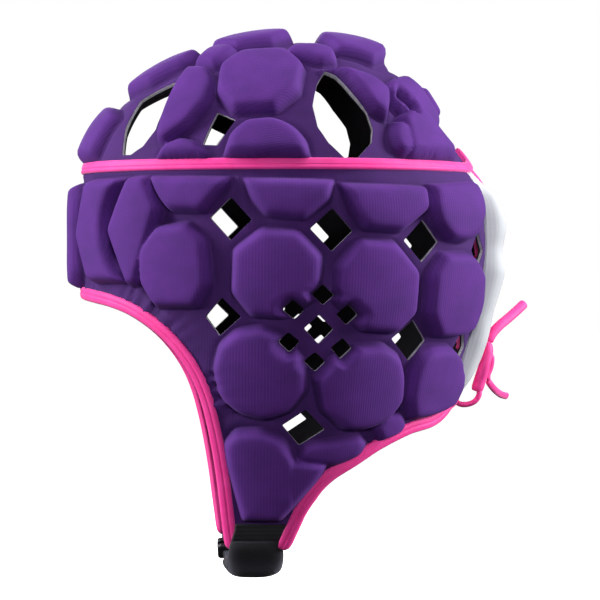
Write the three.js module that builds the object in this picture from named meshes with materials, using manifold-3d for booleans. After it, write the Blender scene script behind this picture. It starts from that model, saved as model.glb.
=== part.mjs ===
// Rugby scrum cap: a padded cloth cap in the shape of the head that it is worn on.
// Millimetres, +Z up, the front toward -Y and the wearer's left toward +X.
// The origin is on the inside of the crown, at its top.
import * as THREE from 'three';
import Module from 'manifold-3d';

const wasm = await Module();
wasm.setup();

// Driving sizes of the head form and its cloth
const halfWidth = 81.5;
const frontReach = 108;
const backReach = 96.5;
const capDrop = 250;
const clothWall = 2.5;
const padRise = 7.5;
const padRoot = 1.7;
const padShoulder = 3;
const padCrown = 0.5;
const seamGap = 0.3;

// Bindings, strap, buckle and lace
const bindingWidth = 5.5;
const bindingProud = 1.2;
const tailDrop = 12;
const strapWidth = 25;
const strapThickness = 2;
const sleeveWall = 2.6;
const buckleLength = 12;
const buckleWall = 2.2;
const laceWidth = 3.2;
const laceRise = 3.2;
const laceInside = 5.2;
const knotWidth = 6;
const freeEndWidth = 4.4;
const eyeletWidth = 6.2;
const panelRise = 8.5;

// Where the seams run, as drops in shares of capDrop and turns in degrees from the front
const seamDrop = 0.2525;
const seamPeak = 0.03;
const seamPeakTurn = 8;
const backSeamTurn = 159;
const slitTurn = 175;
const eyeletTurn = 172.2;

// Head form: columns are the drop below the crown's top as a share of capDrop, then the reach
// to the front, side and back as shares of frontReach, halfWidth and backReach
const headRows = [
  { drop: 0.0, front: 0.0, side: 0.0, back: 0.0 },
  { drop: 0.03, front: 0.426, side: 0.442, back: 0.425 },
  { drop: 0.066, front: 0.62, side: 0.626, back: 0.549 },
  { drop: 0.13, front: 0.824, side: 0.822, back: 0.653 },
  { drop: 0.19, front: 0.935, side: 0.92, back: 0.756 },
  { drop: 0.242, front: 0.986, side: 0.963, back: 0.86 },
  { drop: 0.29, front: 1.0, side: 0.988, back: 0.953 },
  { drop: 0.35, front: 1.0, side: 1.0, back: 0.995 },
  { drop: 0.41, front: 1.0, side: 1.0, back: 1.0 },
  { drop: 0.51, front: 1.0, side: 0.988, back: 0.964 },
  { drop: 0.61, front: 1.0, side: 0.945, back: 0.891 },
  { drop: 0.73, front: 1.0, side: 0.871, back: 0.808 },
  { drop: 0.87, front: 1.0, side: 0.773, back: 0.767 },
  { drop: 1.05, front: 1.0, side: 0.65, back: 0.767 },
];

// Lower edge of the cloth from the brow round to the slit at the back
const edgeRows = [
  { turn: 0, drop: 0.488 },
  { turn: 18, drop: 0.496 },
  { turn: 30, drop: 0.506 },
  { turn: 39, drop: 0.522 },
  { turn: 46.5, drop: 0.546 },
  { turn: 52, drop: 0.572 },
  { turn: 57, drop: 0.606 },
  { turn: 61, drop: 0.645 },
  { turn: 64, drop: 0.69 },
  { turn: 66.5, drop: 0.75 },
  { turn: 69, drop: 0.84 },
  { turn: 71, drop: 0.946 },
  { turn: 85.5, drop: 0.946 },
  { turn: 87.5, drop: 0.914 },
  { turn: 91, drop: 0.878 },
  { turn: 97, drop: 0.846 },
  { turn: 107, drop: 0.814 },
  { turn: 117, drop: 0.783 },
  { turn: 131, drop: 0.754 },
  { turn: 145, drop: 0.74 },
  { turn: 152, drop: 0.727 },
  { turn: 159, drop: 0.71 },
  { turn: slitTurn, drop: 0.692 },
];
const lowestDrop = Math.max(...edgeRows.map((row) => row.drop));
const flapFrontRow = edgeRows.findIndex((row) => row.drop === lowestDrop);
const flapRearRow = flapFrontRow + 1;

// Pad outlines: corners of the rear half from top to bottom, each as shares of the pad's own
// half-width and half-height; the front half mirrors them
const outlines = {
  octagon: [[0.5, 1], [1, 0.5], [1, -0.5], [0.5, -1]],
  tall: [[0.6, 1], [1, 0.75], [1, -0.75], [0.6, -1]],
  hexagon: [[0.6, 1], [1, 0], [0.6, -1]],
  keystone: [[0.97, 1], [0.95, -0.05], [0.5, -1]],
  arch: [[0.4, 1], [1, -0.2], [1, -1]],
  wedge: [[0.55, 1], [1, 0.25], [0.36, -1]],
};

// Pads: turn and drop of the middle, wide as a share of halfWidth, tall as a share of capDrop,
// rise as a share of padRise, lean in degrees; both sides of the head carry each pad but those
// whose turn is 0 or 180
const crownPads = [
  { turn: 0, drop: 0.196, wide: 0.68, tall: 0.108, rise: 1, lean: 0, outline: 'tall' },
  { turn: 0, drop: 0.083, wide: 0.56, tall: 0.144, rise: 1, lean: 0, outline: 'octagon' },
  { turn: 0, drop: 0.006, wide: 0.66, tall: 0.152, rise: 1, lean: 0, outline: 'octagon' },
  { turn: 180, drop: 0.012, wide: 0.8, tall: 0.152, rise: 1, lean: 0, outline: 'octagon' },
  { turn: 180, drop: 0.136, wide: 0.5, tall: 0.13, rise: 1, lean: 0, outline: 'octagon' },
  { turn: 47, drop: 0.142, wide: 0.23, tall: 0.18, rise: 1, lean: 14, outline: 'tall' },
  { turn: 49, drop: 0.05, wide: 0.19, tall: 0.075, rise: 0.8, lean: 0, outline: 'hexagon' },
  { turn: 71, drop: 0.088, wide: 0.5, tall: 0.168, rise: 1, lean: 0, outline: 'octagon' },
  { turn: 57, drop: 0.222, wide: 0.32, tall: 0.034, rise: 0.8, lean: 0, outline: 'arch' },
  { turn: 79, drop: 0.203, wide: 0.5, tall: 0.074, rise: 1, lean: 0, outline: 'arch' },
  { turn: 90, drop: 0.028, wide: 0.17, tall: 0.046, rise: 0.6, lean: 0, outline: 'hexagon' },
  { turn: 101, drop: 0.052, wide: 0.11, tall: 0.046, rise: 0.6, lean: 0, outline: 'hexagon' },
  { turn: 128, drop: 0.112, wide: 0.36, tall: 0.11, rise: 1, lean: -20, outline: 'octagon' },
  { turn: 154, drop: 0.19, wide: 0.46, tall: 0.09, rise: 1, lean: 0, outline: 'octagon' },
  { turn: 124, drop: 0.204, wide: 0.17, tall: 0.07, rise: 0.8, lean: 0, outline: 'hexagon' },
];
const bandPads = [
  { turn: 0, drop: 0.388, wide: 0.3, tall: 0.2, rise: 1, lean: 0, outline: 'tall' },
  { turn: 20, drop: 0.386, wide: 0.375, tall: 0.2, rise: 1, lean: 0, outline: 'tall' },
  { turn: 39.5, drop: 0.386, wide: 0.3, tall: 0.204, rise: 1, lean: 0, outline: 'octagon' },
  { turn: 59, drop: 0.31, wide: 0.47, tall: 0.068, rise: 1, lean: 0, outline: 'keystone' },
  { turn: 85, drop: 0.32, wide: 0.49, tall: 0.074, rise: 1, lean: 0, outline: 'keystone' },
  { turn: 112.5, drop: 0.338, wide: 0.53, tall: 0.086, rise: 1, lean: 0, outline: 'keystone' },
  { turn: 141.5, drop: 0.342, wide: 0.51, tall: 0.112, rise: 1, lean: 0, outline: 'keystone' },
  { turn: 55, drop: 0.448, wide: 0.46, tall: 0.17, rise: 1, lean: 0, outline: 'octagon' },
  { turn: 82, drop: 0.462, wide: 0.52, tall: 0.166, rise: 1, lean: 0, outline: 'octagon' },
  { turn: 110, drop: 0.486, wide: 0.52, tall: 0.172, rise: 1, lean: 0, outline: 'octagon' },
  { turn: 141.5, drop: 0.502, wide: 0.54, tall: 0.166, rise: 1, lean: 0, outline: 'octagon' },
  { turn: 78, drop: 0.652, wide: 0.53, tall: 0.17, rise: 1, lean: 0, outline: 'octagon' },
  { turn: 107.5, drop: 0.676, wide: 0.54, tall: 0.158, rise: 1, lean: 0, outline: 'octagon' },
  { turn: 141.5, drop: 0.672, wide: 0.52, tall: 0.142, rise: 1, lean: 0, outline: 'octagon' },
  { turn: 80.5, drop: 0.842, wide: 0.44, tall: 0.18, rise: 1, lean: 0, outline: 'wedge' },
  { turn: 105.5, drop: 0.794, wide: 0.17, tall: 0.034, rise: 0.6, lean: 0, outline: 'hexagon' },
  { turn: 120.5, drop: 0.744, wide: 0.18, tall: 0.036, rise: 0.6, lean: 0, outline: 'hexagon' },
];

// Diamond holes: middle, width as a share of halfWidth and height as a share of capDrop
const crownHoles = [
  { turn: 66, drop: 0.188, wide: 0.18, tall: 0.08 },
  { turn: 136, drop: 0.134, wide: 0.06, tall: 0.035 },
];
const bandHoles = [
  { turn: 70, drop: 0.359, wide: 0.262, tall: 0.082 },
  { turn: 96.5, drop: 0.379, wide: 0.258, tall: 0.084 },
  { turn: 124.5, drop: 0.4, wide: 0.25, tall: 0.084 },
  { turn: 153.5, drop: 0.412, wide: 0.1, tall: 0.066 },
  { turn: 67.8, drop: 0.545, wide: 0.215, tall: 0.076 },
  { turn: 124.5, drop: 0.59, wide: 0.258, tall: 0.082 },
  { turn: 89.5, drop: 0.758, wide: 0.25, tall: 0.07 },
  { turn: 154, drop: 0.61, wide: 0.09, tall: 0.066 },
  { turn: 86, drop: 0.531, wide: 0.135, tall: 0.04 },
  { turn: 94, drop: 0.503, wide: 0.13, tall: 0.042 },
  { turn: 101.5, drop: 0.541, wide: 0.12, tall: 0.04 },
  { turn: 100.5, drop: 0.605, wide: 0.12, tall: 0.04 },
  { turn: 92, drop: 0.631, wide: 0.12, tall: 0.04 },
  { turn: 85, drop: 0.593, wide: 0.12, tall: 0.04 },
  { turn: 93, drop: 0.569, wide: 0.17, tall: 0.056 },
];

// Large crown vents: corners in order round each opening
const frontVent = [
  { turn: 23.5, drop: 0.122 },
  { turn: 34, drop: 0.09 },
  { turn: 37.5, drop: 0.106 },
  { turn: 42, drop: 0.14 },
  { turn: 43.5, drop: 0.184 },
  { turn: 41, drop: 0.216 },
  { turn: 37, drop: 0.23 },
  { turn: 33, drop: 0.23 },
  { turn: 29, drop: 0.182 },
];
const rearVent = [
  { turn: 100, drop: 0.07 },
  { turn: 105, drop: 0.08 },
  { turn: 111, drop: 0.115 },
  { turn: 116, drop: 0.152 },
  { turn: 116, drop: 0.185 },
  { turn: 113.5, drop: 0.21 },
  { turn: 106, drop: 0.23 },
  { turn: 101, drop: 0.229 },
  { turn: 97, drop: 0.21 },
  { turn: 93.5, drop: 0.182 },
  { turn: 92, drop: 0.14 },
  { turn: 95, drop: 0.095 },
];
const topVent = [
  { turn: 168, drop: 0.05 },
  { turn: 172, drop: 0.034 },
  { turn: 188, drop: 0.034 },
  { turn: 192, drop: 0.05 },
  { turn: 187, drop: 0.064 },
  { turn: 173, drop: 0.064 },
];

// Puff of the back panels: top strip, then padded stretches with soft grooves between them
const panelRows = [
  { share: 0.0, puff: 0.0 },
  { share: 0.05, puff: 0.12 },
  { share: 0.12, puff: 0.8 },
  { share: 0.25, puff: 1.0 },
  { share: 0.35, puff: 0.76 },
  { share: 0.45, puff: 1.0 },
  { share: 0.62, puff: 0.8 },
  { share: 0.74, puff: 0.92 },
  { share: 0.9, puff: 0.66 },
  { share: 1.0, puff: 0.12 },
];
const panelColumns = [
  { turn: backSeamTurn + 0.4, puff: 0.1 },
  { turn: 161.4, puff: 0.8 },
  { turn: 164, puff: 1.0 },
  { turn: 167.4, puff: 0.98 },
  { turn: 169, puff: 0.1 },
  { turn: 170, puff: 0.08 },
  { turn: slitTurn, puff: 0.06 },
];
const eyeletDrops = [0.34, 0.43, 0.52, 0.61];

// Chin strap seen from the front: half of its way from the flap to the middle of the chin
const strapRows = [
  { reach: 1.0, drop: 0.0 },
  { reach: 0.985, drop: 0.3 },
  { reach: 0.93, drop: 0.54 },
  { reach: 0.8, drop: 0.76 },
  { reach: 0.6, drop: 0.9 },
  { reach: 0.32, drop: 0.98 },
  { reach: 0.0, drop: 1.0 },
];
const chinDrop = 25;
const sleeveStart = 0.105;
const sleeveEnd = 0.68;
const buckleStart = 0.79;

// Smooth curve through rows of a table, kept from overshooting between them
function through(rows, key, value, at) {
  const xs = rows.map((row) => row[key]);
  const ys = rows.map((row) => row[value]);
  return smoothAt(xs, ys, at);
}

function smoothAt(xs, ys, at) {
  const last = xs.length - 1;
  const x = Math.min(Math.max(at, xs[0]), xs[last]);
  let i = 0;
  while (i < last - 1 && x > xs[i + 1]) i += 1;
  const slope = (k) => (ys[k + 1] - ys[k]) / (xs[k + 1] - xs[k]);
  const tangent = (k) => {
    if (k === 0) return slope(0);
    if (k === last) return slope(last - 1);
    const before = slope(k - 1);
    const after = slope(k);
    return before * after <= 0 ? 0 : (2 * before * after) / (before + after);
  };
  const h = xs[i + 1] - xs[i];
  const t = (x - xs[i]) / h;
  const a = (1 + 2 * t) * (1 - t) * (1 - t);
  const b = t * (1 - t) * (1 - t);
  const c = t * t * (3 - 2 * t);
  const d = t * t * (t - 1);
  return a * ys[i] + b * h * tangent(i) + c * ys[i + 1] + d * h * tangent(i + 1);
}

// Reaches of the head form; their squares are interpolated, which keeps the crown's top round
const headDrops = headRows.map((row) => row.drop);
const squares = {
  front: headRows.map((row) => row.front * row.front),
  side: headRows.map((row) => row.side * row.side),
  back: headRows.map((row) => row.back * row.back),
};

function reaches(drop) {
  const share = (name) => Math.sqrt(Math.max(smoothAt(headDrops, squares[name], drop), 0));
  return {
    front: frontReach * share('front'),
    side: halfWidth * share('side'),
    back: backReach * share('back'),
  };
}

function base(turn, drop) {
  const reach = reaches(drop);
  const angle = THREE.MathUtils.degToRad(turn);
  const along = Math.cos(angle);
  const length = along > 0 ? reach.front : reach.back;
  return new THREE.Vector3(reach.side * Math.sin(angle), -length * along, clothWall - drop * capDrop);
}

function backward(turn, drop) {
  return base(turn + 0.2, drop).sub(base(turn - 0.2, drop)).normalize();
}

function outward(turn, drop) {
  if (drop < 0.0005) return new THREE.Vector3(0, 0, 1);
  const step = Math.min(0.001, drop / 2);
  const upward = base(turn, drop - step).sub(base(turn, drop + step));
  return backward(turn, drop).cross(upward).normalize();
}

function skin(turn, drop, lift) {
  return base(turn, drop).addScaledVector(outward(turn, drop), lift);
}

// The turn and drop of the head form's point that lies beyond or below a point near it
const coreDrop = 0.32;

function landing(point) {
  const coreHeight = clothWall - coreDrop * capDrop;
  const place = (p) => {
    const drop = (clothWall - p.z) / capDrop;
    const reach = reaches(drop);
    const length = p.y < 0 ? reach.front : reach.back;
    return { drop, across: p.x / reach.side, along: -p.y / length };
  };
  let spot = place(point);
  if (point.z > coreHeight) {
    const core = new THREE.Vector3(0, 0, coreHeight);
    const ray = point.clone().sub(core);
    let near = 0.5;
    let far = 1.6;
    for (let i = 0; i < 40; i += 1) {
      const middle = (near + far) / 2;
      spot = place(core.clone().addScaledVector(ray, middle));
      const outside = spot.drop <= 0 || Math.hypot(spot.across, spot.along) > 1;
      if (outside) far = middle;
      else near = middle;
    }
    spot = place(core.clone().addScaledVector(ray, near));
  }
  return { turn: THREE.MathUtils.radToDeg(Math.atan2(spot.across, spot.along)), drop: spot.drop };
}

// Point at u back and v up from a middle on the head form, both in millimetres
function beside(middle, u, v) {
  const east = backward(middle.turn, middle.drop);
  const north = outward(middle.turn, middle.drop).cross(east);
  const point = base(middle.turn, middle.drop).addScaledVector(east, u).addScaledVector(north, v);
  return landing(point);
}

function seamAt(turn) {
  const away = (180 - Math.abs(turn)) / seamPeakTurn;
  return seamDrop - seamPeak * Math.exp(-away * away);
}

// Turns at which the seam's pieces meet, closer together at the peak
const seamTurns = [...Array.from({ length: 12 }, (_, i) => 14 * i), 164, 170, 175];
const ringTurns = [...seamTurns.slice(1).reverse().map((turn) => -turn), ...seamTurns, 180];

const seamHalf = (bindingWidth / 2 + seamGap) / capDrop;

function crownRim(turn) {
  return seamAt(turn) - seamHalf;
}

function bandTop(turn) {
  return seamAt(turn) + seamHalf;
}

function edgeAt(turn) {
  const at = Math.abs(turn);
  const next = edgeRows.findIndex((row) => row.turn >= at);
  if (next <= 0) return edgeRows[next === 0 ? 0 : edgeRows.length - 1].drop;
  const a = edgeRows[next - 1];
  const b = edgeRows[next];
  return THREE.MathUtils.mapLinear(at, a.turn, b.turn, a.drop, b.drop);
}

// Closed solids from points and faces
function toManifold(points, faces) {
  const vertProperties = new Float32Array(points.flatMap((p) => [p.x, p.y, p.z]));
  const triVerts = new Uint32Array(faces.flat());
  return new wasm.Manifold(new wasm.Mesh({ numProp: 3, vertProperties, triVerts }));
}

function toGeometry(solid) {
  const mesh = solid.getMesh();
  const geometry = new THREE.BufferGeometry();
  geometry.setAttribute('position', new THREE.BufferAttribute(mesh.vertProperties, 3));
  geometry.setIndex(new THREE.BufferAttribute(mesh.triVerts, 1));
  geometry.computeVertexNormals();
  return geometry;
}

function mirroredFaces(faces) {
  return faces.map(([a, b, c]) => [a, c, b]);
}

function mirrored(solid) {
  const points = solid.points.map((p) => new THREE.Vector3(-p.x, p.y, p.z));
  return { points, faces: mirroredFaces(solid.faces) };
}

// The faces are reversed where they enclose a negative volume
function built(solid) {
  const volume = solid.faces.reduce((sum, [a, b, c]) => {
    const normal = solid.points[b].clone().cross(solid.points[c]);
    return sum + solid.points[a].dot(normal);
  }, 0);
  const outwardFacing = volume < 0 ? mirroredFaces(solid.faces) : solid.faces;
  return toManifold(solid.points, outwardFacing);
}

// A stack of rings with the same count of points, closed by a point at each end;
// the rings run anticlockwise seen from the last end
function stack(rings, first, last) {
  const count = rings[0].length;
  const points = [first, ...rings.flat(), last];
  const faces = [];
  const at = (ring, i) => 1 + ring * count + (i % count);
  for (let i = 0; i < count; i += 1) {
    faces.push([0, at(0, i + 1), at(0, i)]);
    for (let ring = 0; ring < rings.length - 1; ring += 1) {
      faces.push([at(ring, i), at(ring, i + 1), at(ring + 1, i + 1)]);
      faces.push([at(ring, i), at(ring + 1, i + 1), at(ring + 1, i)]);
    }
    faces.push([at(rings.length - 1, i), at(rings.length - 1, i + 1), points.length - 1]);
  }
  return { points, faces };
}

// A cloth sheet between an outer and an inner grid; rows run down and columns run back
function sheet(outer, inner) {
  const rows = outer.length;
  const columns = outer[0].length;
  const points = [...outer.flat(), ...inner.flat()];
  const half = rows * columns;
  const out = (r, c) => r * columns + c;
  const back = (r, c) => half + r * columns + c;
  const faces = [];
  const quad = (a, b, c, d) => faces.push([a, b, c], [a, c, d]);
  for (let r = 0; r < rows - 1; r += 1) {
    for (let c = 0; c < columns - 1; c += 1) {
      quad(out(r, c), out(r + 1, c), out(r + 1, c + 1), out(r, c + 1));
      quad(back(r, c), back(r, c + 1), back(r + 1, c + 1), back(r + 1, c));
    }
    quad(out(r, 0), back(r, 0), back(r + 1, 0), out(r + 1, 0));
    const c = columns - 1;
    quad(out(r, c), out(r + 1, c), back(r + 1, c), back(r, c));
  }
  for (let c = 0; c < columns - 1; c += 1) {
    quad(out(0, c), out(0, c + 1), back(0, c + 1), back(0, c));
    const r = rows - 1;
    quad(out(r, c), back(r, c), back(r, c + 1), out(r, c + 1));
  }
  return { points, faces };
}

// A flat or padded strip swept along stations, each with a place and two directions
function strip(stations, section, closed) {
  const count = section.length;
  const points = stations.flatMap((station) => section.map(([across, high]) => station.place
    .clone()
    .addScaledVector(station.across, across)
    .addScaledVector(station.high, high)));
  const faces = [];
  const total = stations.length;
  const at = (s, i) => (s % total) * count + (i % count);
  const spans = closed ? total : total - 1;
  for (let s = 0; s < spans; s += 1) {
    for (let i = 0; i < count; i += 1) {
      faces.push([at(s, i), at(s, i + 1), at(s + 1, i + 1)]);
      faces.push([at(s, i), at(s + 1, i + 1), at(s + 1, i)]);
    }
  }
  if (!closed) {
    for (let i = 1; i < count - 1; i += 1) {
      faces.push([at(0, 0), at(0, i + 1), at(0, i)]);
      faces.push([at(total - 1, 0), at(total - 1, i), at(total - 1, i + 1)]);
    }
  }
  return { points, faces };
}

// Pads and holes
function padSolid(pad) {
  const shape = outlines[pad.outline];
  const halfWide = (pad.wide * halfWidth) / 2;
  const halfTall = (pad.tall * capDrop) / 2;
  const rise = pad.rise * padRise;
  const lean = THREE.MathUtils.degToRad(pad.lean);
  const corners = [...shape.map(([u, v]) => [-u, v]), ...[...shape].reverse()];
  const ring = (inset, lift) => corners.map(([u, v]) => {
    const x = u * Math.max(halfWide - inset, 1);
    const y = v * Math.max(halfTall - inset, 1);
    const across = x * Math.cos(lean) - y * Math.sin(lean);
    const up = x * Math.sin(lean) + y * Math.cos(lean);
    const spot = beside(pad, across, up);
    return skin(spot.turn, spot.drop, lift);
  });
  const shoulder = Math.min(padShoulder, 0.4 * halfTall);
  const rings = [ring(0, -padRoot), ring(shoulder, rise)];
  const floor = skin(pad.turn, pad.drop, -padRoot);
  return stack(rings, floor, skin(pad.turn, pad.drop, rise + padCrown));
}

function plug(spots, below, above) {
  const ring = (lift) => spots.map((spot) => skin(spot.turn, spot.drop, lift));
  const middle = (points) => points
    .reduce((sum, p) => sum.add(p), new THREE.Vector3())
    .divideScalar(points.length);
  const low = ring(below);
  const high = ring(above);
  return stack([low, high], middle(low), middle(high));
}

const plugBelow = -clothWall - 3;
const plugAbove = padRise + 5;

function diamond(hole) {
  const wide = (hole.wide * halfWidth) / 2;
  const tall = (hole.tall * capDrop) / 2;
  const spots = [[0, tall], [-wide, 0], [0, -tall], [wide, 0]].map(([u, v]) => beside(hole, u, v));
  return plug(spots, plugBelow, plugAbove);
}

function vent(corners) {
  return plug([...corners].reverse(), plugBelow, plugAbove);
}

function bothSides(solid) {
  return [built(solid), built(mirrored(solid))];
}

function padsOf(table) {
  return table.flatMap((pad) => {
    const solid = padSolid(pad);
    return pad.turn === 0 || pad.turn === 180 ? [built(solid)] : bothSides(solid);
  });
}

// Crown: a dome of cloth from its top to the seam; its pads end at the seam too
const envelopeLift = padRise + 3;

function dome(low, high) {
  const rows = 5;
  const ring = (row, lift) => ringTurns.map((turn) => {
    const share = (row + 1) / rows;
    return skin(turn, crownRim(turn) * share * share, lift);
  });
  const outer = Array.from({ length: rows }, (_, row) => ring(row, high));
  const inner = Array.from({ length: rows }, (_, row) => ring(row, low));
  const top = (lift) => new THREE.Vector3(0, 0, clothWall + lift);
  return built(stack([...inner, ...outer.reverse()], top(low), top(high)));
}

function crownPanel() {
  const pads = wasm.Manifold.union(padsOf(crownPads)).intersect(dome(-clothWall, envelopeLift));
  const cuts = [
    ...bothSides(vent(frontVent)),
    ...bothSides(vent(rearVent)),
    built(vent(topVent)),
    ...crownHoles.flatMap((hole) => bothSides(diamond(hole))),
  ];
  return dome(-clothWall, 0).add(pads).subtract(wasm.Manifold.union(cuts));
}

// Band: from the back seam round the brow to the other back seam, with both flaps
const bandTurns = edgeRows.map((row) => row.turn).filter((turn) => turn <= backSeamTurn);

function bandCloth(low, high) {
  const rows = 5;
  const turns = [...bandTurns.slice(1).reverse().map((turn) => -turn), ...bandTurns];
  const grid = (lift) => Array.from({ length: rows + 1 }, (_, row) => turns.map((turn) => {
    const drop = THREE.MathUtils.lerp(bandTop(turn), edgeAt(turn), row / rows);
    return skin(turn, drop, lift);
  }));
  return built(sheet(grid(high), grid(low)));
}

function sidePanel() {
  const pads = wasm.Manifold.union(padsOf(bandPads)).intersect(bandCloth(-clothWall, envelopeLift));
  const cuts = bandHoles.flatMap((hole) => bothSides(diamond(hole)));
  return bandCloth(-clothWall, 0).add(pads).subtract(wasm.Manifold.union(cuts));
}

// Back panel of the wearer's left side, with eyelets beside the slit
function backPanel() {
  const grid = (lifted) => panelRows.map((row) => panelColumns.map((column) => {
    const drop = THREE.MathUtils.lerp(bandTop(column.turn), edgeAt(column.turn), row.share);
    return skin(column.turn, drop, lifted ? row.puff * column.puff * panelRise : -clothWall);
  }));
  const panel = built(sheet(grid(true), grid(false)));
  const half = eyeletWidth / 2;
  const eyelets = eyeletDrops.map((drop) => {
    const spots = Array.from({ length: 6 }, (_, i) => {
      const angle = (Math.PI * i) / 3;
      return beside({ turn: eyeletTurn, drop }, -half * Math.sin(angle), half * Math.cos(angle));
    });
    return built(plug(spots, plugBelow, plugAbove));
  });
  return { solid: panel.subtract(wasm.Manifold.union(eyelets)) };
}

// Bindings: the cloth's edge lies seamGap from the tape's inner face
const tapeTop = bindingProud;
const tapeFloor = -clothWall - bindingProud;
const tapeSection = [
  [seamGap, tapeFloor],
  [seamGap + bindingWidth - 1, tapeFloor],
  [seamGap + bindingWidth, tapeFloor + 1.2],
  [seamGap + bindingWidth, tapeTop - 1.2],
  [seamGap + bindingWidth - 1, tapeTop],
  [seamGap, tapeTop],
];

// Stations along a run of spots on the head form; across points away from the cloth
function tapeStations(spots) {
  const places = spots.map((spot) => base(spot.turn, spot.drop));
  return spots.map((spot, i) => {
    const before = places[Math.max(i - 1, 0)];
    const after = places[Math.min(i + 1, places.length - 1)];
    const high = outward(spot.turn, spot.drop);
    const into = i > 0 ? places[i].clone().sub(before).normalize() : null;
    const away = i < places.length - 1 ? after.clone().sub(places[i]).normalize() : null;
    const along = new THREE.Vector3().add(into ?? away).add(away ?? into).normalize();
    const across = along.clone().cross(high).normalize();
    const turnShare = into && away ? Math.max(into.dot(along), 0.6) : 1;
    return { place: places[i], across: across.divideScalar(turnShare), high };
  });
}

function faceBinding() {
  const end = edgeRows[flapFrontRow];
  const tail = { turn: end.turn, drop: end.drop + tailDrop / capDrop };
  const left = [...edgeRows.slice(0, flapFrontRow + 1), tail];
  const right = left.slice(1).reverse().map((spot) => ({ turn: -spot.turn, drop: spot.drop }));
  return strip(tapeStations([...right, ...left]), tapeSection, false);
}

function rearBinding() {
  const low = edgeRows[flapRearRow];
  const tail = { turn: low.turn, drop: low.drop + tailDrop / capDrop };
  const lower = edgeRows.slice(flapRearRow);
  const slit = [0.64, 0.58, 0.5, 0.42, 0.35, 0.29].map((drop) => ({ turn: slitTurn, drop }));
  const top = { turn: slitTurn, drop: bandTop(slitTurn) };
  return strip(tapeStations([tail, ...lower, ...slit, top]), tapeSection, false);
}

function crownBinding() {
  const stations = ringTurns.map((turn) => {
    const drop = seamAt(turn);
    const high = outward(turn, drop);
    return { place: base(turn, drop), across: high.clone().cross(backward(turn, drop)), high };
  });
  const half = bindingWidth / 2;
  const section = [
    [-half, tapeFloor],
    [-half, tapeTop - 0.8],
    [0, tapeTop],
    [half, tapeTop - 0.8],
    [half, tapeFloor],
  ];
  return strip(stations, section, true);
}

// Chin strap: one loop of webbing from flap to flap
function strapStations(from, to, count) {
  const turn = (edgeRows[flapFrontRow].turn + edgeRows[flapRearRow].turn) / 2;
  const top = skin(turn, edgeRows[flapFrontRow].drop, -clothWall / 2);
  top.z -= seamGap + strapThickness / 4;
  const half = strapRows.map((row) => [top.x * row.reach, top.z - chinDrop * row.drop]);
  const whole = [...half, ...half.slice(0, -1).reverse().map(([x, z]) => [-x, z])];
  const curve = new THREE.CatmullRomCurve3(whole.map(([x, z]) => new THREE.Vector3(x, top.y, z)));
  return Array.from({ length: count + 1 }, (_, i) => {
    const share = THREE.MathUtils.lerp(from, to, i / count);
    const along = curve.getTangentAt(share);
    const across = new THREE.Vector3(0, 1, 0);
    return { place: curve.getPointAt(share), across, high: along.clone().cross(across) };
  });
}

function flatSection(width, thickness) {
  const side = width / 2;
  const half = thickness / 2;
  return [
    [-side, 0],
    [-side + half, -half],
    [side - half, -half],
    [side, 0],
    [side - half, half],
    [-side + half, half],
  ];
}

function chinStrap() {
  return strip(strapStations(0, 1, 20), flatSection(strapWidth, strapThickness), false);
}

function aroundStrap(from, to, count, wall, clearance) {
  const wide = strapWidth + 2 * clearance;
  const thick = strapThickness + 2 * clearance;
  const outer = flatSection(wide + 2 * wall, thick + 2 * wall);
  const margin = 0.02;
  const shell = built(strip(strapStations(from, to, count), outer, false));
  const hollow = strapStations(from - margin, to + margin, count + 4);
  return shell.subtract(built(strip(hollow, flatSection(wide, thick), false)));
}

// Lace: in and out of the eyelets like a ladder, then a knot with two free ends
function laceRoute() {
  const spot = (side, drop, lift) => skin(side * eyeletTurn, drop, lift);
  const over = (drop) => skin(180, drop, laceRise);
  return [...eyeletDrops].reverse().flatMap((drop, i) => {
    const side = i % 2 === 0 ? 1 : -1;
    const into = [spot(-side, drop, -laceInside), spot(-side, drop, laceRise)];
    const out = [spot(side, drop, laceRise), spot(side, drop, -laceInside)];
    return [...into, over(drop), ...out];
  });
}

// Hand-placed routes of the knot and of the two free ends: to the left, back and up from the
// middle of the slit at the last eyelets
const knotRoute = [
  [0.5, 8.8, 2.5],
  [1.5, 8.4, -3],
  [2, 6.8, -9],
  [0.5, 5, -15.5],
  [0, 3, -21.5],
];
const longEndRoute = [
  [0.5, 9.2, 3.4],
  [0.2, 10.2, 5.8],
  [-1.2, 12.4, 8.8],
  [-3.4, 15.6, 11.8],
  [-6.4, 19.6, 14.8],
  [-10, 24.2, 18.4],
  [-14, 29.2, 22.6],
];
const shortEndRoute = [
  [-1.6, 9.1, -16.2],
  [-3.4, 10.6, -18.2],
  [-7.4, 12.8, -20.4],
  [-13, 15.2, -22.2],
  [-20, 18.2, -23.8],
  [-28, 22, -24.8],
];

function tube(points, width, steps, sides) {
  const corners = Array.from({ length: sides }, (_, i) => {
    const angle = (2 * Math.PI * i) / sides;
    return new THREE.Vector2((width / 2) * Math.cos(angle), (width / 2) * Math.sin(angle));
  });
  const extrudePath = new THREE.CatmullRomCurve3(points, false, 'centripetal');
  const options = { steps, bevelEnabled: false, extrudePath };
  return new THREE.ExtrudeGeometry(new THREE.Shape(corners), options);
}

function routed(route) {
  const slitMiddle = base(180, eyeletDrops[eyeletDrops.length - 1]);
  return route.map(([left, back, up]) => new THREE.Vector3(left, back, up).add(slitMiddle));
}

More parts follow.
